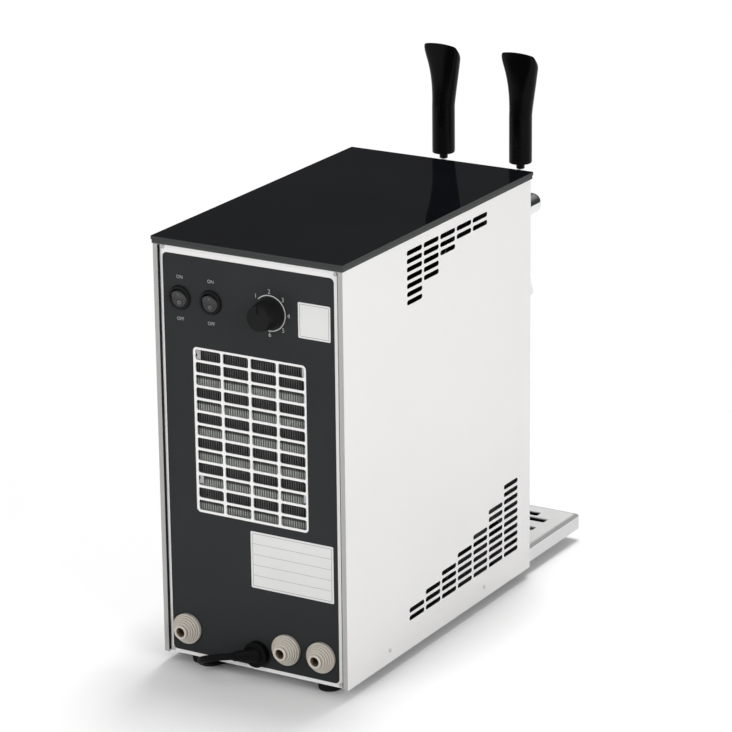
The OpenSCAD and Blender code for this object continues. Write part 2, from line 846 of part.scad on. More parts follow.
module filter_drier() color("#b5703f") place() translate([line_x, drier_y, drier_z]) {
    cylinder(r1 = line_r, r2 = drier_r, h = drier_cone);
    translate([0, 0, drier_cone]) cylinder(r = drier_r, h = drier_l - 2 * drier_cone);
    translate([0, 0, drier_l - drier_cone]) cylinder(r1 = drier_r, r2 = line_r, h = drier_cone);
}

// Hot gas to the condenser, liquid to the drier, and cold gas back from the block
module refrigerant_lines() color("#b87344") place() {
    pipe([
        [comp_r + seat_gap, comp_y, hot_z], [line_x, comp_y, hot_z], [line_x, comp_y, cond_top + line_step],
        [line_x, cond_rows[0], cond_top + line_step], [line_x, cond_rows[0], cond_top],
        [cond_stub, cond_rows[0], cond_top]
    ], line_r, line_bend);
    pipe([
        [cond_stub, cond_rows[1], cond_top], [line_x, cond_rows[1], cond_top],
        [line_x, drier_y, cond_top], [line_x, drier_y, drier_z + drier_l]
    ], line_r, line_bend);
    pipe([
        [-evap_x, block_y, evap_end_z], [-evap_x, block_y, evap_end_z + line_step],
        [-evap_x, comp_y, evap_end_z + line_step], [-evap_x, comp_y, comp_high + seat_gap]
    ], coil_r, line_bend);
}

module capillary_tube() color("#c07a48") place() pipe([
    [line_x, drier_y, drier_z], [line_x, drier_y, drier_z - line_step],
    [line_x + cap_jog, drier_y, drier_z - line_step], [line_x + cap_jog, drier_y, cap_z],
    [line_x + cap_jog, block_y, cap_z], [line_x + cap_jog, block_y, evap_end_z + line_step],
    [evap_x, block_y, evap_end_z + line_step], [evap_x, block_y, evap_end_z]
], cap_r, line_bend);

// Cold block with its coils

module block_bores(r)
    for (i = [0 : beer_runs - 1]) {
        for (y = beer_y) translate([(i - (beer_runs - 1) / 2) * beer_pitch, y]) circle(r);
        if (i < evap_runs) translate([(i - (evap_runs - 1) / 2) * beer_pitch, block_y]) circle(r);
    }

module cold_block() color("#a9abad") place()
    translate([0, 0, block_z]) linear_extrude(block_h) difference() {
        translate([-block_w / 2, block_y - block_d / 2]) square([block_w, block_d]);
        block_bores(coil_r + tube_gap);
    }

module evaporator_coil() color("#b87344") place() pipe([
    for (i = [0 : evap_runs - 1])
        let (x = ((evap_runs - 1) / 2 - i) * beer_pitch, down = i % 2 == 0)
        each [
            [x, block_y, i == 0 ? evap_end_z : down ? turn_high : turn_low],
            [x, block_y, i == evap_runs - 1 ? evap_end_z : down ? turn_low : turn_high]
        ]
], coil_r, beer_pitch / 2);

// Beer climbs through the block from the inlet below to the tap shank above
module beer_coil(y) pipe(concat([
    for (i = [0 : beer_runs - 1])
        let (x = (i - (beer_runs - 1) / 2) * beer_pitch, up = i % 2 == 0)
        each [
            [x, y, i == 0 ? inlet_z : up ? turn_low : turn_high],
            [x, y, i == beer_runs - 1 ? tap_z : up ? turn_high : turn_low]
        ]
], [[tap_pitch / 2, y_front + shank_in + seat_gap, tap_z]]), coil_r, beer_pitch / 2);
module beer_coil_1() color("#c4c6c8") place() beer_coil(beer_y[0]);
module beer_coil_2() color("#c4c6c8") place() mirror([1, 0, 0]) beer_coil(beer_y[1]);

module block_insulation() color("#232426") place() difference() {
    for (y0 = [foam_y0, block_y + fit_gap / 2])
        box(-foam_w / 2, foam_w / 2, y0, y0 + (foam_d - fit_gap) / 2, foam_z0, foam_z1);
    box(-block_w / 2 - foam_gap, block_w / 2 + foam_gap, block_y - block_d / 2 - foam_gap,
        block_y + block_d / 2 + foam_gap, foam_z0 + foam_t, foam_z1 - foam_t);
    for (i = [0, 1], s = [-1, 1]) {
        side = i == 0 ? s : -s;
        translate([side * tap_pitch / 2, beer_y[i], s < 0 ? foam_z0 - cut : foam_z1 - foam_t - cut])
            cylinder(r = coil_r + foam_gap, h = foam_t + 2 * cut);
    }
    for (s = [-1, 1]) translate([s * evap_x, block_y, foam_z1 - foam_t - cut])
        cylinder(r = coil_r + foam_gap, h = foam_t + 2 * cut);
    rod_y(sense_r + foam_gap, block_y + block_d / 2, block_y + foam_d, knob_x, sense_z);
}

module beer_inlet_lines() color("#1f2022") place() {
    pipe([
        [fitting_x[2], hose_end, fitting_z], [fitting_x[2], hose_turns[0], fitting_z],
        [-line_x, hose_turns[0], fitting_z], [-line_x, hose_rise, fitting_z],
        [-line_x, hose_rise, hose_z],
        [-line_x, beer_y[0], hose_z], [-tap_pitch / 2, beer_y[0], hose_z],
        [-tap_pitch / 2, beer_y[0], inlet_z]
    ], tube_d / 2, hose_bend);
    pipe([
        [fitting_x[1], hose_end, fitting_z], [fitting_x[1], hose_turns[1], fitting_z],
        [-hose_x, hose_turns[1], fitting_z], [-hose_x, hose_rise, fitting_z],
        [-hose_x, hose_rise, hose_z],
        [-hose_x, beer_y[1], hose_z], [tap_pitch / 2, beer_y[1], hose_z],
        [tap_pitch / 2, beer_y[1], inlet_z]
    ], tube_d / 2, hose_bend);
}

// Air pump

module air_pump() color("#4a4c50") place() {
    box(pump_x - pump_r, pump_x + pump_r, pump_y - pump_l / 2, pump_y + pump_l / 2,
        floor_z, pump_z - pump_r / 2);
    rod_y(pump_r, pump_y - pump_l / 2, pump_y + pump_l / 2 - pump_head, pump_x, pump_z);
    box(pump_x - pump_r, pump_x + pump_r, pump_y + pump_l / 2 - pump_head, pump_y + pump_l / 2,
        floor_z, pump_z + pump_r);
}
module air_line() color("#1f2022") place() pipe([
    [fitting_x[0], hose_end, fitting_z], [fitting_x[0], hose_rise, fitting_z],
    [pump_x, hose_rise, fitting_z],
    [pump_x, pump_y + pump_l / 2 + seat_gap, fitting_z]
], tube_d / 2, hose_bend);

// Controls

module thermostat() color("#55585c") place() {
    box(knob_x - stat_w / 2, knob_x + stat_w / 2, panel_in - seat_gap - stat_d, panel_in - seat_gap,
        knob_z - stat_w / 2, knob_z + stat_w / 2);
    rod_y(bush_r, panel_in - seat_gap - cut, face_y + stat_nut_t, knob_x, knob_z);
    hex_y(stat_nut, face_y, face_y + stat_nut_t, knob_x, knob_z);
    rod_y(stat_shaft_r, face_y, face_y + knob_gap + shaft_l, knob_x, knob_z);
    pipe([
        [knob_x, panel_in - seat_gap - stat_d + cut, knob_z], [knob_x, hose_rise, knob_z],
        [knob_x, hose_rise, sense_z], [knob_x, block_y + block_d / 2 + seat_gap, sense_z]
    ], sense_r, line_bend);
}

module thermostat_knob() color("#141416") place() difference() {
    knob_y = face_y + knob_gap;
    cone_y(knob_d / 2, knob_d / 2 - knob_taper, knob_y, knob_y + knob_h, knob_x, knob_z);
    rod_y(stat_nut / sqrt(3) + knob_taper / 2, knob_y - cut, knob_y + stat_nut_t + cut, knob_x, knob_z);
    rod_y(stat_shaft_r + run_gap, knob_y, knob_y + shaft_l + cut, knob_x, knob_z);
    box(knob_x - mark_w / 2, knob_x + mark_w / 2, knob_y + knob_h - mark_deep, knob_y + knob_h + cut,
        knob_z + mark_from, knob_z + knob_d);
}

module switch_housings() color("#151517") place()
    for (i = [0, 1]) translate([switch_x + i * switch_pitch, 0, switch_z]) difference() {
        union() {
            cone_y(switch_d / 2, switch_d / 2 - bezel_taper, face_y, face_y + bezel_t, 0, 0);
            rod_y(switch_body_r, panel_in - switch_l, face_y, 0, 0);
            for (x = [-1, 1])
                translate([x * tab_x, panel_in - switch_l, 0])
                    box(-tab_w / 2, tab_w / 2, -tab_l, cut, -tab_l / 2, tab_l / 2);
        }
        rod_y(rocker_r + rocker_gap, rocker_y - rocker_room, face_y + bezel_t + cut, 0, 0);
        rod_x(rocker_pin_r + run_gap, -switch_body_r - cut, switch_body_r + cut, rocker_y, 0);
    }

// Rocker with two slanted halves, at rest with its lower half pressed in
module rocker(i) color("#3b3d40") place()
    translate([switch_x + i * switch_pitch, rocker_y, switch_z]) rotate([-rocker_tilt, 0, 0]) {
        intersection() {
            rod_y(rocker_r, -rocker_room, rocker_room, 0, 0);
            plate_yz(-rocker_r, 2 * rocker_r) polygon([
                [-rocker_in, -rocker_r], [rocker_edge, -rocker_r], [rocker_valley, 0],
                [rocker_edge, rocker_r], [-rocker_in, rocker_r]
            ]);
        }
        rod_x(rocker_pin_r, -rocker_r - rocker_pin_l, rocker_r + rocker_pin_l, 0, 0);
    }
module rocker_1() rocker(0);
module rocker_2() rocker(1);

// Push-in hose fittings

// Outline of the stepped head: a flange and smaller rings above it, each standing on a narrow neck
fitting_profile = concat(
    [[0, 0], [fitting_d / 2, 0]],
    [
        for (i = [0 : fitting_rings - 1])
            let (
                r = fitting_d / 2 - i * fitting_step,
                high = flange_t + i * fitting_rise,
                neck = r - fitting_groove_in,
                low = high - fitting_rise
            )
            each concat(
                i == 0 ? [] : [[neck, low], [neck, low + fitting_groove], [r, low + fitting_groove]],
                [[r, high - fitting_bevel], [r - fitting_bevel, high]]
            )
    ],
    [[0, flange_t + (fitting_rings - 1) * fitting_rise]]
);
module fitting_bodies() color("#b8b0a6") place()
    for (x = fitting_x) difference() {
        union() {
            rod_y(thread_r, panel_in - thread_l, face_y, x, fitting_z);
            translate([x, face_y, fitting_z]) rotate([-90, 0, 0]) rotate_extrude() polygon(fitting_profile);
        }
        rod_y(tube_d / 2 + tube_gap, panel_in - thread_l - cut, mouth_y + cut, x, fitting_z);
        rod_y(collet_r + run_gap, face_y - cut, mouth_y + cut, x, fitting_z);
    }
module fitting_nuts() color("#b8b0a6") place()
    for (x = fitting_x) difference() {
        hex_y(fitting_nut, pan_y1 - fitting_nut_t, pan_y1, x, fitting_z);
        rod_y(thread_r + run_gap, panel_in - thread_l, panel_in + cut, x, fitting_z);
    }
module collet(i) color("#a79f95") place() difference() {
    union() {
        rod_y(collet_r, mouth_y - collet_l, mouth_y + 2 * collet_lip, fitting_x[i], fitting_z);
        rod_y(collet_lip_r, mouth_y + collet_lip, mouth_y + 2 * collet_lip, fitting_x[i], fitting_z);
    }
    rod_y(tube_d / 2 + run_gap, mouth_y - collet_l - cut, mouth_y + collet_l, fitting_x[i], fitting_z);
}
module collet_1() collet(0);
module collet_2() collet(1);
module collet_3() collet(2);

// Mains lead

module cable_gland() color("#111112") place() {
    rod_y(gland_r, face_y, gland_root[1], gland_x, gland_z);
    rod_y(gland_thread_r, panel_in - gland_in, face_y, gland_x, gland_z);
    hex_y(gland_nut, panel_in - gland_in / 2, panel_in - fit_gap, gland_x, gland_z);
    translate([gland_x, gland_root[1] - gland_ball_in, gland_z]) sphere(gland_ball_r);
    translate(gland_root) rotate([0, 90, atan2(gland_way[1], gland_way[0])])
        cylinder(r1 = gland_sleeve_r, r2 = cord_r + gland_tip_wall, h = gland_sleeve);
}
module mains_lead() color("#131314") place() sweep(lead_route, cord_r, lead_sides);

// The coil spirals in on the lower layer, climbs where it reverses, and spirals out on the upper layer
function coil_rise(a) =
    coil_pitch * min(1, max(0, (a + 90) / 180)) + plug_rise * min(1, max(0, (a - coil_span + 90) / 90));
function coil_point(a) = coil_centre + [
    -(coil_in_r + coil_pitch * abs(a) / 360) * cos(a),
    -(coil_in_r + coil_pitch * abs(a) / 360) * sin(a),
    coil_rise(a)
];
coil_exit = coil_point(coil_span);
coil_route = concat(
    [coil_start],
    [for (i = [0 : 2 * coil_turns * coil_steps]) coil_point(-coil_span + i * 360 / coil_steps)],
    [coil_exit - [0, coil_tail, 0]]
);
coil_least_gap = min([
    for (i = [0 : len(coil_route) - 1], j = [i + coil_steps / 2 : 1 : len(coil_route) - 1])
        norm(coil_route[i] - coil_route[j])
]) - cord_d;
module lead_coil() color("#131314") place() {
    echo(least_gap_in_the_coil = coil_least_gap);
    sweep(coil_route, cord_r, coil_sides);
}

module coil_tie() color("#2b2b2d") place() {
    near = coil_in_r + coil_pitch / 2 - cord_r - 2 * tie_gap;
    far = coil_in_r + coil_pitch * (coil_turns - 0.5) + cord_r + tie_gap;
    low = -cord_r - tie_gap;
    high = coil_pitch + cord_r + tie_gap;
    translate(coil_centre) difference() {
        box(near - tie_t, far + tie_t, -tie_w / 2, tie_w / 2, low - tie_t, high + tie_t);
        box(near, far, -tie_w, tie_w, low, high);
    }
}

module mains_plug() color("#151516") place() {
    end = coil_exit - [0, coil_tail, 0];
    body = end[1] - plug_tail;
    cone_y(plug_tail_r, cord_r + plug_neck_wall, body - cut, end[1], end[0], end[2]);
    intersection() {
        rod_y(plug_r, body - plug_l, body, end[0], end[2]);
        translate(end) box(-plug_r, plug_r, -plug_tail - plug_l, -plug_tail, -plug_half_h, plug_half_h);
    }
    for (s = [-1, 1])
        rod_y(plug_pin_r, body - plug_l - plug_pin_l, body - plug_l + cut, end[0] + s * plug_pin_x, end[2]);
}

// Taps: modelled about the handle axis at the barrel's height, the second one mirrored
module at_tap(s) place() translate([s * tap_pitch / 2, tap_y, tap_z]) {
    if (s > 0) children();
    else mirror([1, 0, 0]) children();
}

module tap_shanks() color("#cfd1d3") for (s = [-1, 1]) at_tap(s) difference() {
    union() {
        hex_y(shank_hex, barrel_end, barrel_end + shank_hex_t, 0, 0);
        rod_y(shank_flange_r, barrel_end + shank_hex_t, tap_reach, 0, 0);
        rod_y(shank_r, tap_reach - cut, tap_reach + shank_in, 0, 0);
        translate([0, tap_reach + sheet_t + seat_gap, 0]) hex_y(shank_nut, 0, shank_nut_t, 0, 0);
    }
    rod_y(spout_bore, barrel_end - cut, tap_reach + shank_in + cut, 0, 0);
}

module along_spout() translate([0, spout_root, 0]) rotate([180 - spout_tilt, 0, 0]) children();

module tap_bodies() color("#d3d5d7") for (s = [-1, 1]) at_tap(s) difference() {
    union() {
        rod_y(barrel_r, -tap_nose, barrel_end, 0, 0);
        along_spout() {
            cylinder(r = spout_r, h = spout_l);
            cylinder(r = spout_collar_r, h = barrel_r + spout_collar);
        }
        for (e = [0, 1]) mirror([e, 0, 0]) plate_yz(hub_w / 2 + fit_gap, ear_t) {
            translate([0, pivot_up]) circle(ear_r);
            translate([-ear_r, 0]) square([2 * ear_r, pivot_up]);
        }
        rod_x(flow_boss_r, 0, flow_boss_x, flow_y, 0);
    }
    rod_y(guide_r, -tap_nose - cut, seat_0, 0, 0);
    rod_y(seat_r, seat_0 - cut, seat_0 + seat_t + cut, 0, 0);
    rod_y(chamber_r, seat_0 + seat_t, barrel_end + cut, 0, 0);
    along_spout() cylinder(r = spout_bore, h = spout_l + cut);
    rod_x(hub_r + hub_gap, -hub_w / 2 - fit_gap, hub_w / 2 + fit_gap, 0, pivot_up);
    box(-finger_r - finger_gap, finger_r + finger_gap, -finger_r - finger_gap, stroke + finger_r,
        0, pivot_up);
    rod_x(pin_r + run_gap, -ear_out - cut, ear_out + cut, 0, pivot_up);
    rod_x(flow_stem_r + run_gap, 0, flow_boss_x + cut, flow_y, 0);
}

module tap_caps() color("#d9dbdd") for (s = [-1, 1]) at_tap(s) {
    intersection() {
        translate([0, -tap_nose, 0]) sphere(barrel_r);
        box(-barrel_r, barrel_r, -tap_nose - barrel_r, -tap_nose, -barrel_r, barrel_r);
    }
    rod_y(guide_r - run_gap, -tap_nose - cut, -tap_nose + cap_spigot, 0, 0);
}

module tap_pins() color("#9a9c9f") for (s = [-1, 1]) at_tap(s)
    rod_x(pin_r, -ear_out, ear_out, 0, pivot_up);

module tap_lever(s) color("#c6c8ca") at_tap(s) difference() {
    union() {
        rod_x(hub_r, -hub_w / 2, hub_w / 2, 0, pivot_up);
        cylinder(r = finger_r, h = pivot_up);
        sphere(finger_ball_r);
        translate([0, 0, pivot_up]) cylinder(r = stem_r, h = handle_z - tap_z - pivot_up);
        translate([0, 0, pivot_up]) cylinder(r = stud_r, h = handle_z - tap_z - pivot_up + stud_l);
    }
    rod_x(pin_r + run_gap, -hub_w, hub_w, 0, pivot_up);
}
module tap_lever_1() tap_lever(1);
module tap_lever_2() tap_lever(-1);

// Handle: round at its foot, flaring to a wide paddle that bows to the front and falls away at its top
function power(v, e) = sign(v) * pow(abs(v), e);
function mix(a, b, f) = a + (b - a) * f;
function handle_point(t, k, shrink) =
    let (
        f = pow(max(0, (t - flare_start) / (1 - flare_start)), flare_power),
        w = pow(max(0, (t - slope_start) / (1 - slope_start)), 2),
        e = mix(1, handle_square, f),
        a = -360 * k / handle_sides,
        trim = shrink * (1 - handle_sharp * (1 + sin(a)) / 2),
        half = mix(handle_r, handle_top_r, f) - trim,
        deep = mix(handle_r, handle_deep, f) - trim,
        bow = handle_bow * sin(180 * max(0, t - flare_start) / (1 - flare_start)),
        x = half * power(cos(a), e),
        y = deep * power(sin(a), e),
        fall = handle_crown * pow(x / half, 2) + handle_drop * pow(abs(deep - y) / (2 * deep), fall_power)
    )
    [x, y - bow + w * handle_lean, t * handle_h - w * fall];
// Share of the height and how far the outline is drawn in there
handle_stations = [
    [0, 1], [0.012, 0], [0.2, 0], [0.42, 0], [0.52, 0], [0.6, 0], [0.68, 0], [0.75, 0], [0.82, 0],
    [0.88, 0], [0.93, 0.3], [0.96, 1], [0.98, 2.4], [0.992, 4.3], [1, 7]
];
module handle_form() {
    m = len(handle_stations);
    n = handle_sides;
    points = concat(
        [for (p = handle_stations, k = [0 : n - 1]) handle_point(p[0], k, p[1])],
        [[0, handle_lean, handle_h - handle_drop * pow(0.5, fall_power)]]
    );
    lid = [for (k = [0 : n - 1]) [(m - 1) * n + k, (m - 1) * n + (k + 1) % n, m * n]];
    polyhedron(points, concat(skin(m, n), fan(0, n, true), lid));
}
module tap_handle(s) color("#141416") at_tap(s) translate([0, 0, handle_z - tap_z]) difference() {
    union() {
        handle_form();
        translate([0, 0, -neck_l]) cylinder(r = neck_r, h = neck_l + cut);
    }
    translate([0, 0, -neck_l - cut]) cylinder(r = stem_r + run_gap, h = neck_l + cut);
    translate([0, 0, -cut]) cylinder(r = stud_r + run_gap, h = stud_l + 2 * cut);
}
module tap_handle_1() tap_handle(1);
module tap_handle_2() tap_handle(-1);

// Plunger: guided in the barrel, it opens the seat when the lever's finger pushes it back
module tap_plunger(s) color("#b9bbbd") at_tap(s) difference() {
    head_0 = seat_0 + seat_t + seat_gap;
    union() {
        rod_y(guide_r - run_gap, guide_0, guide_1, 0, 0);
        rod_y(rod_r, guide_1 - cut, head_0 + cut, 0, 0);
        rod_y(head_r, head_0, head_0 + head_t, 0, 0);
    }
    slot_r = finger_ball_r + slot_gap;
    box(-slot_r, slot_r, -slot_r, slot_r, -finger_ball_r - slot_floor, guide_r + cut);
    box(-slot_r, slot_r, -slot_r - slot_lead, slot_r, finger_r / 2, guide_r + cut);
}
module tap_plunger_1() tap_plunger(1);
module tap_plunger_2() tap_plunger(-1);

module flow_lever(s) color("#c9cbcd") at_tap(s) {
    arm_x = flow_boss_x + seat_gap;
    rod_x(flow_stem_r, chamber_r + seat_gap, arm_x + flow_arm_t, flow_y, 0);
    plate_yz(arm_x, flow_arm_t) {
        translate([flow_y, 0]) circle(flow_hub_r);
        translate([flow_y - flow_arm_w / 2, -flow_arm_l]) square([flow_arm_w, flow_arm_l]);
        translate([flow_y, -flow_arm_l]) circle(flow_arm_w / 2);
    }
}
module flow_lever_1() flow_lever(1);
module flow_lever_2() flow_lever(-1);

// Drip tray

module tray_bracket() color("#bfc1c3") place() {
    box(-bracket_w / 2, bracket_w / 2, tray_y0 + tray_d / 4, y_front, tray_z - bracket_t, tray_z);
    box(-bracket_w / 2, bracket_w / 2, y_front - bracket_t, y_front, tray_z - bracket_t, tray_z + tray_h);
}

module tray_outline(inset)
    translate([0, (tray_y0 + tray_y1) / 2])
        rounded(tray_w - 2 * inset, tray_d - 2 * inset, max(tray_round - inset, tray_round_in));
// Outer form across a width, with both top edges cut at a slope
module tray_section(w, l)
    translate([0, l / 2]) rotate([90, 0, 0]) linear_extrude(l) polygon([
        [-w / 2, 0], [w / 2, 0], [w / 2, tray_h - tray_edge], [w / 2 - tray_edge, tray_h],
        [tray_edge - w / 2, tray_h], [-w / 2, tray_h - tray_edge]
    ]);

module drip_tray() color("#c8c9cb") place() translate([0, 0, tray_z]) difference() {
    intersection() {
        linear_extrude(tray_h) tray_outline(0);
        translate([0, (tray_y0 + tray_y1) / 2]) {
            intersection() {
                tray_section(tray_w, tray_d);
                rotate([0, 0, 90]) tray_section(tray_d, tray_w);
            }
        }
    }
    translate([0, 0, tray_wall]) linear_extrude(tray_h - tray_wall - rim_h) tray_outline(tray_wall);
    translate([0, 0, tray_wall]) linear_extrude(tray_h) tray_outline(rim_w);
}

module drip_grate() color("#d5d6d8") place() {
    rows = 2 * ceil(tray_d / grate_pair_pitch);
    translate([0, 0, tray_z + tray_h - grate_t]) linear_extrude(grate_t) difference() {
        tray_outline(rim_w + grate_gap);
        for (k = [0 : rows - 1], s = [-1, 1]) {
            l = tray_w / 2 - (k == 0 ? grate_front_side : grate_side) - grate_bar;
            y = grate_front + floor(k / 2) * grate_pair_pitch + k % 2 * grate_slot_pitch;
            if (y + grate_slot_w / 2 + grate_rear < tray_d)
                translate([s * (grate_bar + l / 2), tray_y0 + y]) rounded(l, grate_slot_w, grate_slot_round);
        }
    }
    for (x = [-1, 1], y = [tray_y0 + leg_in, tray_y1 - leg_in])
        translate([x * (tray_w / 2 - leg_in), y, tray_z + tray_wall])
            cylinder(r = leg_r, h = tray_h - tray_wall - grate_t / 2);
}

base_pan();
feet();
left_side_panel();
right_side_panel();
front_panel();
back_panel();
back_film();
lid_frame();
glass_top();
panel_screws();
condenser_fins();
condenser_coil();
condenser_end_plates();
fan_shroud();
fan_motor();
fan_blade();
compressor();
compressor_mounts();
terminal_cover();
filter_drier();
refrigerant_lines();
capillary_tube();
cold_block();
evaporator_coil();
beer_coil_1();
beer_coil_2();
block_insulation();
beer_inlet_lines();
air_pump();
air_line();
thermostat();
thermostat_knob();
switch_housings();
rocker_1();
rocker_2();
fitting_bodies();
fitting_nuts();
collet_1();
collet_2();
collet_3();
cable_gland();
mains_lead();
lead_coil();
coil_tie();
mains_plug();
tap_shanks();
tap_bodies();
tap_caps();
tap_pins();
tap_lever_1();
tap_lever_2();
tap_handle_1();
tap_handle_2();
tap_plunger_1();
tap_plunger_2();
flow_lever_1();
flow_lever_2();
tray_bracket();
drip_tray();
drip_grate();
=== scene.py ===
import json
import math

import bmesh
import bpy
from mathutils import Matrix, Vector


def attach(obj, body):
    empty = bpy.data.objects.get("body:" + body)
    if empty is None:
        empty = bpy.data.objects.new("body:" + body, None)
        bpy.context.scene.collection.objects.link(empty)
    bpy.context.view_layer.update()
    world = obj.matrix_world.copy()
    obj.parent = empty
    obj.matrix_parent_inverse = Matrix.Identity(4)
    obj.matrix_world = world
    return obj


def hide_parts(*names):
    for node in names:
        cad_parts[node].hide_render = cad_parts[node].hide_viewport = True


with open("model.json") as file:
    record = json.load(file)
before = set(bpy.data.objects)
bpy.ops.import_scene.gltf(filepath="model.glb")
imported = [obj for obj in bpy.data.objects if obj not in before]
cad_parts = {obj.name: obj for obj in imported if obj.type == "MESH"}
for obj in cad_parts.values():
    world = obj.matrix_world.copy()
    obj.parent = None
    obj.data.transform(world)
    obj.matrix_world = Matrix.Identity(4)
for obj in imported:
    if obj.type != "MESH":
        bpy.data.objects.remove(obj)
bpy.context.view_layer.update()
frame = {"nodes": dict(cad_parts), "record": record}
nodes = frame["nodes"]
scene = bpy.context.scene

# Main places in metres; the cabinet's own centre lies FY behind the part's origin
MM = 0.001
FY = 50 * MM
FACE = 174.9 * MM + FY


def at(x, y, z):
    """A point of the cabinet's own frame, in mm, as a point of the part's frame in metres."""
    return Vector((x * MM, y * MM + FY, z * MM))


# Camera at the photograph's angle
AZ, EL, ROLL = math.radians(210.584), math.radians(18.174), math.radians(0.666)
LENS, SENSOR = 176.77, 36
CAMERA_AT = (-1.6600, 2.8274, 1.3184)
back = Vector((math.sin(AZ) * math.cos(EL), -math.cos(AZ) * math.cos(EL), math.sin(EL)))
right = (-back).cross(Vector((0, 0, 1))).normalized()
down = (-back).cross(right)
image_x = math.cos(ROLL) * right + math.sin(ROLL) * down
image_y = -math.sin(ROLL) * right + math.cos(ROLL) * down
camera = bpy.data.objects.new("camera", bpy.data.cameras.new("camera"))
camera.data.sensor_width = SENSOR
camera.data.lens = LENS
camera.data.clip_end = 20
camera.matrix_world = Matrix((image_x, -image_y, back)).transposed().to_4x4()
camera.location = CAMERA_AT
scene.collection.objects.link(camera)
scene.camera = camera


# Materials: every one has its own grain in colour, roughness and relief.
# First the sockets of a colour mix node and of a map range node
COLOR_A, COLOR_B, COLOR_OUT = 6, 7, 2
RANGE = ("From Min", "From Max", "To Min", "To Max")


def ramp(tree, factor, low, high):
    """A colour between low and high; low is a colour or the output of another node."""
    node = tree.nodes.new("ShaderNodeMix")
    node.data_type = "RGBA"
    if isinstance(low, bpy.types.NodeSocket):
        tree.links.new(low, node.inputs[COLOR_A])
    else:
        node.inputs[COLOR_A].default_value = (*low, 1)
    node.inputs[COLOR_B].default_value = (*high, 1)
    tree.links.new(factor, node.inputs[0])
    return node.outputs[COLOR_OUT]


def maths(tree, operation, *values):
    """The output of one maths node; each value is a number or the output of another node."""
    node = tree.nodes.new("ShaderNodeMath")
    node.operation = operation
    for socket, value in zip(node.inputs, values):
        if isinstance(value, bpy.types.NodeSocket):
            tree.links.new(value, socket)
        else:
            socket.default_value = value
    return node.outputs[0]


def noise(tree, vector, scale, detail=4.0, rough=0.55):
    node = tree.nodes.new("ShaderNodeTexNoise")
    node.inputs["Scale"].default_value = scale
    node.inputs["Detail"].default_value = detail
    node.inputs["Roughness"].default_value = rough
    tree.links.new(vector, node.inputs["Vector"])
    return node.outputs["Fac"]


def spread(tree, value, low, high, start=0.3, end=0.7, kind="LINEAR"):
    node = tree.nodes.new("ShaderNodeMapRange")
    node.interpolation_type = kind
    for socket, number in zip(RANGE, (start, end, low, high)):
        node.inputs[socket].default_value = number
    tree.links.new(value, node.inputs["Value"])
    return node.outputs["Result"]


def inside(tree, place, tests):
    """1 where every test on the object's own coordinates holds: (axis, kind, metres)."""
    split = tree.nodes.new("ShaderNodeSeparateXYZ")
    tree.links.new(place, split.inputs[0])
    total = None
    for axis, kind, edge in tests:
        value = split.outputs[axis]
        if kind == "within":
            value = maths(tree, "ABSOLUTE", value)
        value = maths(tree, "GREATER_THAN" if kind == "above" else "LESS_THAN", value, edge)
        total = value if total is None else maths(tree, "MULTIPLY", total, value)
    return total


# Shine of the places that a mask paints over, and the detail of the fine grain
DULL, FINE_DETAIL = 0.05, 3.0


def material(name, color, rough, metal=0.0, vary=0.06, cloud=18, grain=900, relief=0.1, depth=0.00005,
             rough_vary=0.12, stretch=(1, 1, 1), specular=0.5, masks=()):
    """A surface with soft clouds in its colour and fine grain; each mask is a tone of painted light or shade
    and where it goes.
    """
    made = bpy.data.materials.new(name)
    made.use_nodes = True
    tree = made.node_tree
    shader = tree.nodes["Principled BSDF"]
    shader.inputs["Metallic"].default_value = metal
    shader.inputs["Specular IOR Level"].default_value = specular
    place = tree.nodes.new("ShaderNodeTexCoord")
    bend = tree.nodes.new("ShaderNodeMapping")
    bend.inputs["Scale"].default_value = stretch
    tree.links.new(place.outputs["Object"], bend.inputs["Vector"])
    soft = noise(tree, place.outputs["Object"], cloud)
    fine = noise(tree, bend.outputs["Vector"], grain, FINE_DETAIL)
    low = [c * (1 - vary) for c in color]
    high = [min(1, c * (1 + vary)) for c in color]
    paint = ramp(tree, spread(tree, soft, 0, 1), low, high)
    total = None
    for tone, tests in masks:
        mask = inside(tree, place.outputs["Object"], tests)
        paint = ramp(tree, mask, paint, tone)
        total = mask if total is None else maths(tree, "MAXIMUM", total, mask)
    if total is not None:
        tree.links.new(spread(tree, total, metal, 0, 0, 1), shader.inputs["Metallic"])
        tree.links.new(spread(tree, total, specular, DULL, 0, 1), shader.inputs["Specular IOR Level"])
    tree.links.new(paint, shader.inputs["Base Color"])
    polish = spread(tree, fine, rough * (1 - rough_vary), rough * (1 + rough_vary))
    tree.links.new(polish, shader.inputs["Roughness"])
    bump = tree.nodes.new("ShaderNodeBump")
    bump.inputs["Strength"].default_value = relief
    bump.inputs["Distance"].default_value = depth
    tree.links.new(fine, bump.inputs["Height"])
    tree.links.new(bump.outputs["Normal"], shader.inputs["Normal"])
    return made


# Brushed grain along the height, and along the width
BRUSHED_Z, BRUSHED_X = (60, 60, 1), (1, 60, 60)
# The inner faces and cut edges of the side panels get a painted shade, near black, as if they lay in the dark
PANEL_INSIDE_SHADE = ((0, "within", 0.0998), (1, "below", 0.215))
# Their rear folds get a painted shade, greyer and duller than the faces beside them
FOLD_SHADE = ((1, "above", 0.2271),)
# Painted highlights on the faces of the rings of the hose fittings and painted shade in the grooves between
# them
RING_TOPS = [0.2284 + 0.00175 * k for k in range(5)]
RING_DEEP, RING_SKIN, GROOVE_WIDE = 0.0003, 0.00003, 0.0008
RING_FACE_HIGHLIGHTS = [((1, "above", y - RING_DEEP), (1, "below", y + RING_SKIN)) for y in RING_TOPS]
GROOVE_SHADE = [((1, "above", y + RING_SKIN), (1, "below", y + GROOVE_WIDE)) for y in RING_TOPS[:-1]]
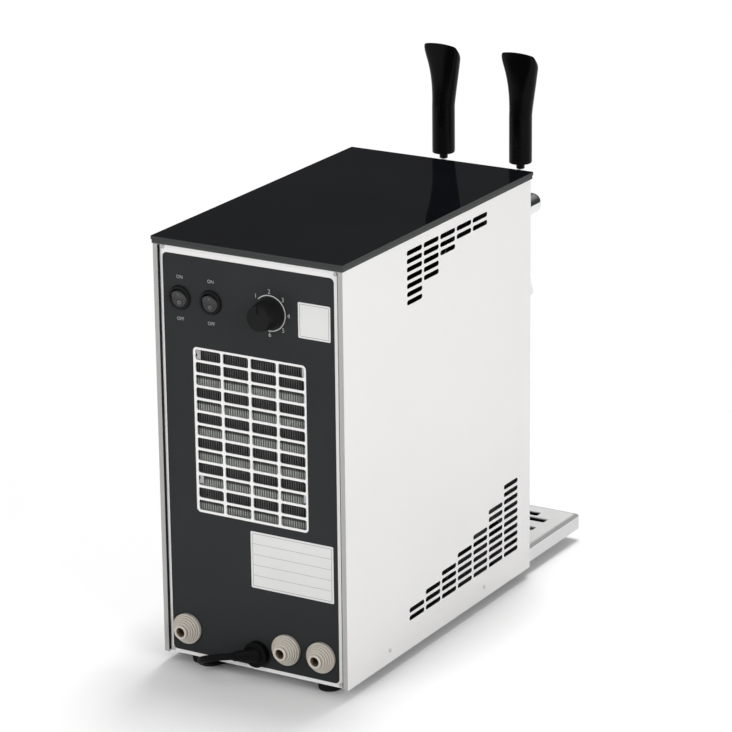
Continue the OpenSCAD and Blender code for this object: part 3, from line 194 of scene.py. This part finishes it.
# The cut edge of the top plate carries a painted reflection, lighter and duller than the plate
PLATE_EDGE_REFLECTION = ((2, "below", 0.4164),)
# The inside of the collets carries a painted shade, darker and browner than the collets
COLLET_BORE_SHADE = ((1, "below", 0.2371),)
# The inside of the tray carries a painted shade, near black
TRAY_INSIDE_SHADE = ((0, "within", 0.0948), (1, "above", -0.2440), (1, "below", -0.1294), (2, "above", 0.0126),
               (2, "below", 0.0246))
# The sloping edge of the tray's rim carries a painted shade for the dark it reflects, darker and duller than
# its flat faces
TRAY_EDGE_SHADE = ((2, "above", 0.02552), (2, "below", 0.02798))
# Painted highlights: bright bands on the fins round the condenser tubes
TUBES = [0.0243 * k for k in range(6)]
TUBE_ROW_HIGHLIGHTS = [((1, "above", 0.2150), (2, "above", 0.1565 + z), (2, "below", 0.1632 + z)) for z in TUBES]
MATS = {
    "galvanised": material("galvanised_sheet", (0.50, 0.51, 0.52), 0.42, 0.9, vary=0.12, cloud=160),
    "black_rubber": material("black_rubber", (0.010, 0.010, 0.010), 0.75, vary=0.2, grain=1400, relief=0.3,
                             specular=0.2),
    # The side sheet's masks paint shade on its inner faces and on its rear folds
    "side_sheet": material("side_sheet", (0.83, 0.82, 0.815), 0.34, 0.3, vary=0.012, cloud=5, grain=40,
                           stretch=BRUSHED_Z, relief=0.02, rough_vary=0.08,
                           masks=(((0.03, 0.03, 0.03), PANEL_INSIDE_SHADE), ((0.40, 0.395, 0.385), FOLD_SHADE))),
    "front_sheet": material("front_sheet", (0.78, 0.78, 0.785), 0.34, 0.6, vary=0.015, cloud=5, grain=40,
                            stretch=BRUSHED_Z, relief=0.03),
    "back_sheet": material("back_sheet", (0.86, 0.85, 0.845), 0.34, 0.2, vary=0.012, cloud=5, grain=40,
                           stretch=BRUSHED_Z, relief=0.02),
    "dark_film": material("dark_film", (0.022, 0.0235, 0.0245), 0.46, vary=0.10, cloud=7, grain=2600,
                          relief=0.12, specular=0.16),
    "lid_edge": material("lid_edge", (0.05, 0.054, 0.053), 0.4, vary=0.1, grain=1500, specular=0.1),
    # The dark glass's mask paints a reflection on the plate's cut edge
    "dark_glass": material("dark_glass", (0.0035, 0.0038, 0.0048), 0.05, vary=0.2, cloud=6, grain=30,
                           relief=0.0, rough_vary=0.3, masks=(((0.05, 0.054, 0.053), PLATE_EDGE_REFLECTION),)),
    "zinc": material("zinc_plate", (0.55, 0.55, 0.56), 0.35, 1.0, vary=0.1, cloud=300),
    # The fins' masks paint highlights in bands round the tubes
    "fins": material("bare_fins", (0.17, 0.175, 0.17), 0.5, 0.4, vary=0.15, cloud=120,
                     masks=[((0.55, 0.57, 0.54), band) for band in TUBE_ROW_HIGHLIGHTS]),
    "copper": material("bare_copper", (0.62, 0.36, 0.24), 0.35, 1.0, vary=0.15, cloud=60),
    "black_plastic": material("moulded_black", (0.010, 0.010, 0.0105), 0.5, vary=0.12, grain=1800, relief=0.2,
                              specular=0.25),
    "motor_case": material("motor_case", (0.06, 0.06, 0.065), 0.4, 0.4, vary=0.12, cloud=60),
    "black_enamel": material("black_enamel", (0.008, 0.008, 0.009), 0.3, vary=0.2, cloud=40, grain=500,
                             specular=0.3),
    "cream_plastic": material("cream_plastic", (0.60, 0.57, 0.48), 0.5, vary=0.04, grain=1500),
    "cast_block": material("cast_block", (0.5, 0.51, 0.52), 0.55, 0.9, vary=0.12, cloud=90, grain=700,
                           relief=0.5),
    "steel_tube": material("drawn_tube", (0.74, 0.75, 0.76), 0.26, 1.0, vary=0.06, cloud=80),
    "foam": material("cell_rubber", (0.012, 0.012, 0.012), 0.9, vary=0.15, cloud=60, grain=500, relief=0.7,
                     depth=0.0004, specular=0.1),
    "black_hose": material("black_hose", (0.010, 0.010, 0.011), 0.35, vary=0.12, cloud=40, specular=0.25),
    "knob_black": material("satin_black", (0.010, 0.010, 0.0105), 0.42, vary=0.15, grain=2000, relief=0.12,
                           specular=0.1),
    "rocker_grey": material("rocker_dark", (0.020, 0.020, 0.021), 0.28, vary=0.12, grain=2000, relief=0.1,
                            specular=0.45),
    # The fitting's masks paint shade in the grooves and highlights on the ring faces
    "fitting_grey": material("acetal_grey", (0.33, 0.30, 0.26), 0.42, vary=0.07, cloud=50, grain=1200,
                             relief=0.15,
                             masks=[((0.06, 0.052, 0.045), band) for band in GROOVE_SHADE]
                             + [((0.52, 0.485, 0.43), band) for band in RING_FACE_HIGHLIGHTS]),
    # The collet's mask paints shade inside its bore
    "collet_grey": material("collet_grey", (0.56, 0.525, 0.47), 0.4, vary=0.06, cloud=50, grain=1200,
                            relief=0.15, masks=(((0.20, 0.155, 0.10), COLLET_BORE_SHADE),)),
    "cord_black": material("cord_black", (0.004, 0.004, 0.0043), 0.5, vary=0.15, grain=1600, relief=0.2,
                           specular=0.12),
    "tap_chrome": material("tap_chrome", (0.80, 0.81, 0.82), 0.10, 1.0, vary=0.03, cloud=30, relief=0.02),
    "handle_black": material("handle_black", (0.0016, 0.0016, 0.0018), 0.26, vary=0.2, cloud=25, grain=1500,
                             relief=0.06, specular=0.08),
    "steel_sheet": material("steel_sheet", (0.84, 0.84, 0.835), 0.34, 0.35, vary=0.03, cloud=12, grain=40,
                            stretch=BRUSHED_X, relief=0.04),
    # The tray's masks paint shade inside it and on the sloping edge of its rim
    "tray_steel": material("tray_steel", (0.80, 0.80, 0.80), 0.32, 0.55, vary=0.03, cloud=12, grain=40,
                           stretch=BRUSHED_Z, relief=0.04,
                           masks=(((0.045, 0.045, 0.046), TRAY_INSIDE_SHADE), ((0.25, 0.25, 0.245), TRAY_EDGE_SHADE))),
    "screw_pale": material("screw_pale", (0.62, 0.62, 0.62), 0.4, 0.3, vary=0.08, cloud=300),
    "print_white": material("print_white", (0.52, 0.52, 0.515), 0.5, vary=0.03, grain=1500),
    "print_soft": material("print_soft", (0.36, 0.37, 0.37), 0.5, vary=0.04, grain=1500),
    "print_grey": material("print_grey", (0.22, 0.22, 0.22), 0.5, vary=0.05, grain=1500),
    "label_white": material("label_white", (0.70, 0.70, 0.69), 0.42, vary=0.02, cloud=30, grain=1500,
                            relief=0.04),
    "label_rule": material("label_rule", (0.34, 0.34, 0.35), 0.5, vary=0.05, grain=1500),
}
LOOKS = {"drip_tray": "tray_steel", "panel_screws": "screw_pale"}
for sub in frame["record"]["subparts"]:
    mesh = nodes[sub["node"]].data
    mesh.materials.clear()
    mesh.materials.append(MATS[LOOKS.get(sub["node"], sub["material_slot"])])


def add(name, mesh, slot, body, look=None, smooth=True):
    """A new piece that rides on a body and takes its finish from a slot of the record."""
    piece = bpy.data.objects.new(name, mesh)
    scene.collection.objects.link(piece)
    mesh.materials.clear()
    mesh.materials.append(MATS[look or slot])
    if smooth and isinstance(mesh, bpy.types.Mesh):
        mesh.shade_smooth()
    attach(piece, body)
    return piece


# Mains lead: out of its grip, down to the floor, under the body, then beside it into the stored coil
CORD = 6.5
PITCH = CORD + 0.6
TURNS = 3
lead = [
    (14, 193, 27), (19, 196.75, 27), (27, 200.5, 26), (36.5, 201.5, 23.5), (45, 198.5, 19.5),
    (50.5, 191.5, 14.5), (52, 182, 8.8), (51, 171.5, 5), (48, 160.5, 3.7), (43.5, 149, 3.5),
    (40.5, 136, 3.5), (40, 121, 3.5), (44, 107, 3.5), (52, 94, 3.5), (62, 82, 3.5), (73, 70, 3.5),
    (84, 58, 3.5), (95, 46, 3.5), (105, 33, 3.6), (113, 18, 3.9), (119.5, 2, 4.4), (121, -15, 4.8),
    (121, -32, 5), (121, -48, 5), (121, -60, 5),
]
inner = 6 * CORD - PITCH * TURNS / 2
COIL_LOW, COIL_END, COIL_STEP = 5, 14, 7.5
centre = (lead[-1][0] + inner + PITCH * TURNS, lead[-1][1] - CORD, COIL_LOW)
span = TURNS * 360


def coil_point(a):
    r = inner + PITCH * abs(a) / 360
    rise = PITCH * min(1, max(0, (a + 90) / 180))
    rise += (COIL_END - COIL_LOW - PITCH) * min(1, max(0, (a - span + 90) / 90))
    c, s = math.cos(math.radians(a)), math.sin(math.radians(a))
    return (centre[0] - r * c, centre[1] - r * s, centre[2] + rise)


def smooth_route(points, steps):
    """A smooth line through the points, bending gently at each one."""
    p = [Vector(q) for q in points]
    p = [p[0] * 2 - p[1]] + p + [p[-1] * 2 - p[-2]]
    line = []
    for i in range(1, len(p) - 2):
        for k in range(steps):
            t = k / steps
            line.append(0.5 * (2 * p[i] + (p[i + 1] - p[i - 1]) * t
                               + (2 * p[i - 1] - 5 * p[i] + 4 * p[i + 1] - p[i + 2]) * t * t
                               + (3 * p[i] - p[i - 1] - 3 * p[i + 1] + p[i + 2]) * t ** 3))
    return line + [p[-2]]


coil = [coil_point(-span + k * COIL_STEP) for k in range(int(2 * span / COIL_STEP) + 1)]
last = (coil[-1][0], coil[-1][1] - CORD, coil[-1][2])
route = [at(*p) for p in smooth_route(lead, 4)] + [at(*p) for p in coil] + [at(*last)]
curve = bpy.data.curves.new("mains_cord", "CURVE")
curve.dimensions = "3D"
spline = curve.splines.new("POLY")
spline.points.add(len(route) - 1)
for point, place in zip(spline.points, route):
    point.co = (*place, 1)
curve.bevel_depth = CORD / 2 * MM
curve.bevel_resolution = 5
cord = add("mains_cord", curve, "cord_black", "cabinet")
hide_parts("mains_lead", "lead_coil")


# Handles: the CAD loft's own form, drawn smoothly
def power(v, e):
    return math.copysign(abs(v) ** e, v)


def mix(a, b, f):
    return a + (b - a) * f


TAP_X, TAP_Y, HANDLE_Z = 43.5, -262.5, 399.5
HANDLE_H, HANDLE_R, HANDLE_TOP, HANDLE_DEEP = 113, 11.4, 20.5, 8.2
FLARE, SLOPE, SQUARE = 0.42, 0.55, 0.62
FLARE_POWER, SLOPE_POWER, FALL_POWER = 1.5, 2, 1.5
CROWN, DROP, BOW, LEAN, ROUND, SHARP = 2.5, 11, 2.6, 3, 7, 0.9


def handle_ring(t, shrink, sides, share=1.0):
    """One ring of the handle at a share t of its height, from a round foot to a flat, sloping top."""
    f = max(0, (t - FLARE) / (1 - FLARE)) ** FLARE_POWER
    w = max(0, (t - SLOPE) / (1 - SLOPE)) ** SLOPE_POWER
    e = mix(1, SQUARE, f)
    bow = BOW * math.sin(math.pi * max(0, t - FLARE) / (1 - FLARE))
    ring = []
    for k in range(sides):
        a = 2 * math.pi * k / sides
        trim = shrink * (1 - SHARP / 2 * (1 + math.sin(a)))
        half, deep = mix(HANDLE_R, HANDLE_TOP, f) - trim, mix(HANDLE_R, HANDLE_DEEP, f) - trim
        x = share * half * power(math.cos(a), e)
        y = share * deep * power(math.sin(a), e)
        fall = CROWN * (x / half) ** 2 + DROP * (abs(deep - y) / (2 * deep)) ** FALL_POWER
        ring.append((x, y - bow + w * LEAN, t * HANDLE_H - w * fall))
    return ring


def skin_rings(name, rings, place, tip):
    """A closed skin over rings of equal counts, in mm round a place in metres."""
    built = bmesh.new()
    grid = [[built.verts.new(Vector(p) * MM + place) for p in ring] for ring in rings]
    n = len(grid[0])
    for lower, upper in zip(grid, grid[1:]):
        for k in range(n):
            built.faces.new((lower[k], lower[(k + 1) % n], upper[(k + 1) % n], upper[k]))
    built.faces.new(list(reversed(grid[0])))
    peak = built.verts.new(Vector(tip) * MM + place)
    for k in range(n):
        built.faces.new((grid[-1][k], grid[-1][(k + 1) % n], peak))
    mesh = bpy.data.meshes.new(name)
    built.to_mesh(mesh)
    built.free()
    return mesh


def plain_ring(r, z, sides):
    angles = [2 * math.pi * k / sides for k in range(sides)]
    return [(r * math.cos(a), r * math.sin(a), z) for a in angles]


SIDES = 64
# Each station is a share of the height and how far the ring draws in there
FOOT_END, TOP_START, STEPS = 0.012, 0.88, 40
stations = [(0, 1.6), (0.0005, 1.0), (0.004, 0.35), (FOOT_END, 0.0)]
stations += [(mix(FOOT_END, TOP_START, k / STEPS), 0.0) for k in range(1, STEPS + 1)]
stations += [(mix(TOP_START, 1, u), ROUND * (1 - math.sqrt(1 - u * u)))
             for u in (0.2, 0.4, 0.55, 0.7, 0.8, 0.88, 0.94, 0.98, 1.0)]
# The stud below the foot, the handle itself, then its top drawn in to the tip
rings = [plain_ring(r, z, SIDES) for r, z in ((3.9, -6), (4.2, -5.7), (4.2, -0.2), (4.25, 0), (9.0, 0))]
rings += [handle_ring(t, s, SIDES) for t, s in stations]
rings += [handle_ring(1, ROUND, SIDES, share) for share in (0.97, 0.85, 0.65, 0.4, 0.2)]
tip = (0, LEAN, HANDLE_H - DROP * 0.5 ** FALL_POWER)
for number, side in ((1, 1), (2, -1)):
    mesh = skin_rings(f"handle_{number}", rings, at(side * TAP_X, TAP_Y, HANDLE_Z), tip)
    handle = add(f"handle_{number}", mesh, "handle_black", f"lever_{number}")
    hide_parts(f"tap_handle_{number}")


# Flat print and labels on the control panel, seen from behind: picture right is -X
INK, LABEL, RULE_LIFT, RULE_WIDE, LABEL_ROUND = 0.02, 0.12, 0.13, 0.5, 1.2
PRINT = Matrix(((-1, 0, 0), (0, 0, 1), (0, 1, 0))).transposed().to_4x4()


def printed(name, words, place, size, body="cabinet", slot="dark_film", look="print_soft"):
    """Thin raised print; place is a matrix whose z axis stands off the surface."""
    text = bpy.data.curves.new(name, "FONT")
    text.body = words
    text.size = size * MM
    text.align_x, text.align_y = "CENTER", "CENTER"
    text.extrude = INK / 2 * MM
    maker = bpy.data.objects.new(name + "_maker", text)
    scene.collection.objects.link(maker)
    bpy.context.view_layer.update()
    mesh = bpy.data.meshes.new_from_object(maker.evaluated_get(bpy.context.evaluated_depsgraph_get()))
    bpy.data.objects.remove(maker)
    mesh.transform(place)
    return add(name, mesh, slot, body, look=look, smooth=False)


def on_panel(x, z):
    return Matrix.Translation((x * MM, FACE + INK * MM, z * MM)) @ PRINT


def strip(name, outline, thick, lift, look, slot="dark_film"):
    """A flat plate on the panel from an outline of (x, z) points in mm."""
    built = bmesh.new()
    y0, y1 = FACE + lift * MM, FACE + (lift + thick) * MM
    low = [built.verts.new((x * MM, y0, z * MM)) for x, z in outline]
    high = [built.verts.new((x * MM, y1, z * MM)) for x, z in outline]
    n = len(outline)
    for k in range(n):
        built.faces.new((low[k], low[(k + 1) % n], high[(k + 1) % n], high[k]))
    built.faces.new(high)
    built.faces.new(list(reversed(low)))
    bmesh.ops.recalc_face_normals(built, faces=built.faces)
    mesh = bpy.data.meshes.new(name)
    built.to_mesh(mesh)
    built.free()
    return add(name, mesh, slot, "cabinet", look=look, smooth=False)


def rounded_outline(x0, x1, z0, z1, r, steps=6):
    points = []
    corners = ((x1 - r, z1 - r, 0), (x0 + r, z1 - r, 90), (x0 + r, z0 + r, 180), (x1 - r, z0 + r, 270))
    for cx, cz, start in corners:
        for k in range(steps + 1):
            a = math.radians(start + 90 * k / steps)
            points.append((cx + r * math.cos(a), cz + r * math.sin(a)))
    return points


def frame_line(name, x0, x1, z0, z1, wide, lift, look):
    """Four thin bars round the inside of a box."""
    for tag, box in (("top", (x0, x1, z1 - wide, z1)), ("bottom", (x0, x1, z0, z0 + wide)),
                     ("left", (x0, x0 + wide, z0 + wide, z1 - wide)),
                     ("right", (x1 - wide, x1, z0 + wide, z1 - wide))):
        a, b, c, d = box
        strip(f"{name}_{tag}", [(a, c), (b, c), (b, d), (a, d)], INK, lift, look)


# Dial round the thermostat knob: an arc and the numbers 1 to 6, in degrees from the picture's right
KNOB_X, KNOB_Z = -22, 360
ARC_R, ARC_WIDE, ARC_STEPS = 17.1, 0.9, 60
DIAL_START, DIAL_SPAN = 135, 230
DIGIT, DIGIT_R, DIGIT_STEP = 6, 20.2, 45


def on_dial(r, degrees):
    a = math.radians(degrees)
    return (KNOB_X - r * math.cos(a), KNOB_Z + r * math.sin(a))


arc = [DIAL_START - DIAL_SPAN * k / ARC_STEPS for k in range(ARC_STEPS + 1)]
outer = [on_dial(ARC_R, a) for a in arc]
under = [on_dial(ARC_R - ARC_WIDE, a) for a in reversed(arc)]
strip("dial_arc", outer + under, INK, 0.0, "print_white")
for k in range(6):
    place = on_panel(*on_dial(DIGIT_R, DIAL_START - DIGIT_STEP * k))
    printed(f"dial_number_{k + 1}", str(k + 1), place, DIGIT)

# Marks round the switches and on their rockers
SWITCH_X, SWITCH_Z, MARK = (40.2, 73.5), 361, 4.4
ON_UP, OFF_DOWN = 19.5, 20.3
ROCKER_Y, ROCKER_TIP = 174.4, math.radians(-10)
HALF_RISE, HALF_LONG, MARK_OUT = 2, 8, 3.25
for k, x in enumerate(SWITCH_X):
    printed(f"on_mark_{k + 1}", "ON", on_panel(x, SWITCH_Z + ON_UP), MARK)
    printed(f"off_mark_{k + 1}", "OFF", on_panel(x, SWITCH_Z - OFF_DOWN), MARK)
    # The rocker's two slanted halves, tipped as the switch stands at rest
    rocker = f"rocker_{k + 1}"
    rest = Matrix.Translation(at(x, ROCKER_Y, SWITCH_Z)) @ Matrix.Rotation(ROCKER_TIP, 4, "X")
    for half, word in ((1, "I"), (-1, "O")):
        along = Vector((-1, 0, 0))
        up = Vector((0, half * HALF_RISE, HALF_LONG)).normalized()
        face = Matrix((along, up, along.cross(up))).transposed().to_4x4()
        spot = Matrix.Translation((0, MARK_OUT * MM, half * HALF_LONG / 2 * MM))
        printed(f"{rocker}_mark_{word}", word, rest @ spot @ face, MARK, rocker, "rocker_grey", "print_grey")

# Blank labels, each with a ruled frame; the large one is ruled into rows as well
SMALL_LABEL, SMALL_RULE = (-85.7, -52.1, 341.8, 375.2), (-84.2, -53.6, 343.3, 373.7)
LARGE_LABEL, LARGE_RULE = (-85.2, 3.2, 91.9, 147.3), (-83.4, 1.4, 93.7, 145.5)
strip("small_label", rounded_outline(*SMALL_LABEL, LABEL_ROUND), LABEL, 0.0, "label_white")
frame_line("small_label_rule", *SMALL_RULE, RULE_WIDE, RULE_LIFT, "label_rule")
strip("large_label", rounded_outline(*LARGE_LABEL, LABEL_ROUND), LABEL, 0.0, "label_white")
frame_line("large_label_rule", *LARGE_RULE, RULE_WIDE, RULE_LIFT, "label_rule")
ROWS, ROW_WIDE = 5, 0.4
x0, x1 = LARGE_RULE[0] + RULE_WIDE, LARGE_RULE[1] - RULE_WIDE
for k in range(1, ROWS):
    z = mix(LARGE_RULE[2], LARGE_RULE[3], k / ROWS)
    row = [(x0, z), (x1, z), (x1, z + ROW_WIDE), (x0, z + ROW_WIDE)]
    strip(f"large_label_row_{k}", row, INK, RULE_LIFT, "label_rule")

# Black rubber strips in the gap between the back panel and the folds of the side panels, put there as painted
# shade for the shadow in the gap
GAP_SHADE_IN, GAP_SHADE_OUT, GAP_SHADE_LOW, GAP_SHADE_HIGH = 94.6, 95.2, 12, 408
GAP_SHADE_THICK, GAP_SHADE_LIFT = 2.9, -0.4
for tag, side in (("left", 1), ("right", -1)):
    x0, x1 = sorted((side * GAP_SHADE_IN, side * GAP_SHADE_OUT))
    outline = [(x0, GAP_SHADE_LOW), (x1, GAP_SHADE_LOW), (x1, GAP_SHADE_HIGH), (x0, GAP_SHADE_HIGH)]
    strip(f"{tag}_gap_shade", outline, GAP_SHADE_THICK, GAP_SHADE_LIFT, "black_rubber", "black_rubber")

# Floor and light: a pale floor that keeps the shadow and fades to white away from the object
FLOOR, FLOOR_DROP = 6, 0.0003
PAPER_LIT, PAPER_SEEN = 0.54, 0.77
FADE_START, FADE_END = 0.30, 0.70
floor_mesh = bpy.data.meshes.new("floor")
corners = [(-FLOOR, -FLOOR, 0), (FLOOR, -FLOOR, 0), (FLOOR, FLOOR, 0), (-FLOOR, FLOOR, 0)]
floor_mesh.from_pydata(corners, [], [(0, 1, 2, 3)])
floor = bpy.data.objects.new("floor", floor_mesh)
scene.collection.objects.link(floor)
floor.location.z = -FLOOR_DROP
ground = bpy.data.materials.new("floor")
ground.use_nodes = True
tree = ground.node_tree
tree.nodes.clear()
out = tree.nodes.new("ShaderNodeOutputMaterial")
blend = tree.nodes.new("ShaderNodeMixShader")
matte = tree.nodes.new("ShaderNodeMixShader")
for socket, shade in ((1, PAPER_LIT), (2, PAPER_SEEN)):
    paper = tree.nodes.new("ShaderNodeBsdfDiffuse")
    paper.inputs["Color"].default_value = (shade, shade, shade, 1)
    tree.links.new(paper.outputs[0], matte.inputs[socket])
glow = tree.nodes.new("ShaderNodeEmission")
glow.inputs["Color"].default_value = (1, 1, 1, 1)
path = tree.nodes.new("ShaderNodeLightPath")
tree.links.new(path.outputs["Is Camera Ray"], matte.inputs["Fac"])
seen = maths(tree, "MAXIMUM", path.outputs["Is Camera Ray"], path.outputs["Is Glossy Ray"])
where = tree.nodes.new("ShaderNodeTexCoord")
reach = tree.nodes.new("ShaderNodeVectorMath")
reach.operation = "LENGTH"
tree.links.new(where.outputs["Object"], reach.inputs[0])
far = spread(tree, reach.outputs["Value"], 0, 1, FADE_START, FADE_END, "SMOOTHSTEP")
tree.links.new(maths(tree, "MULTIPLY", seen, far), blend.inputs["Fac"])
tree.links.new(matte.outputs[0], blend.inputs[1])
tree.links.new(glow.outputs[0], blend.inputs[2])
tree.links.new(blend.outputs[0], out.inputs["Surface"])
floor_mesh.materials.append(ground)

world = bpy.data.worlds.new("world")
scene.world = world
world.use_nodes = True
sky = world.node_tree
lit = sky.nodes["Background"]
lit.inputs["Color"].default_value = (1, 1, 1, 1)
# Bright overhead and dark towards the horizon, so that glossy black pieces stay black
DOME_LOW, DOME_HIGH, DOME_DARK, DOME_BRIGHT = 0.25, 0.9, 0.05, 0.7
aim_at = sky.nodes.new("ShaderNodeTexCoord")
split = sky.nodes.new("ShaderNodeSeparateXYZ")
sky.links.new(aim_at.outputs["Generated"], split.inputs[0])
dome = spread(sky, split.outputs[2], DOME_DARK, DOME_BRIGHT, DOME_LOW, DOME_HIGH, "SMOOTHSTEP")
sky.links.new(dome, lit.inputs["Strength"])
# The background itself is plain white
plain = sky.nodes.new("ShaderNodeBackground")
plain.inputs["Color"].default_value = (1, 1, 1, 1)
plain.inputs["Strength"].default_value = 1.0
ray = sky.nodes.new("ShaderNodeLightPath")
any_ray = maths(sky, "MAXIMUM", ray.outputs["Is Camera Ray"], ray.outputs["Is Transmission Ray"])
choose = sky.nodes.new("ShaderNodeMixShader")
sky.links.new(any_ray, choose.inputs["Fac"])
sky.links.new(lit.outputs[0], choose.inputs[1])
sky.links.new(plain.outputs[0], choose.inputs[2])
sky.links.new(choose.outputs[0], sky.nodes["World Output"].inputs["Surface"])


def lamp(name, place, aim, size, power_w):
    light = bpy.data.lights.new(name, "AREA")
    light.shape = "RECTANGLE"
    light.size, light.size_y = size
    light.energy = power_w
    piece = bpy.data.objects.new(name, light)
    scene.collection.objects.link(piece)
    # The glossy lid mirrors the floor and the sky, not a lamp
    piece.visible_glossy = False
    piece.location = place
    piece.rotation_euler = (Vector(aim) - Vector(place)).to_track_quat("-Z", "Y").to_euler()


MIDDLE, FOOT = (0, 0, 0.25), (0, 0, 0)
lamp("key", (-2.6, 1.1, 1.1), MIDDLE, (1.6, 1.6), 52)
lamp("fill", (0.8, 2.9, 1.0), MIDDLE, (1.6, 1.6), 40)
lamp("top", (0.05, -0.55, 2.5), FOOT, (0.7, 1.1), 50)

scene.view_settings.view_transform = "Standard"
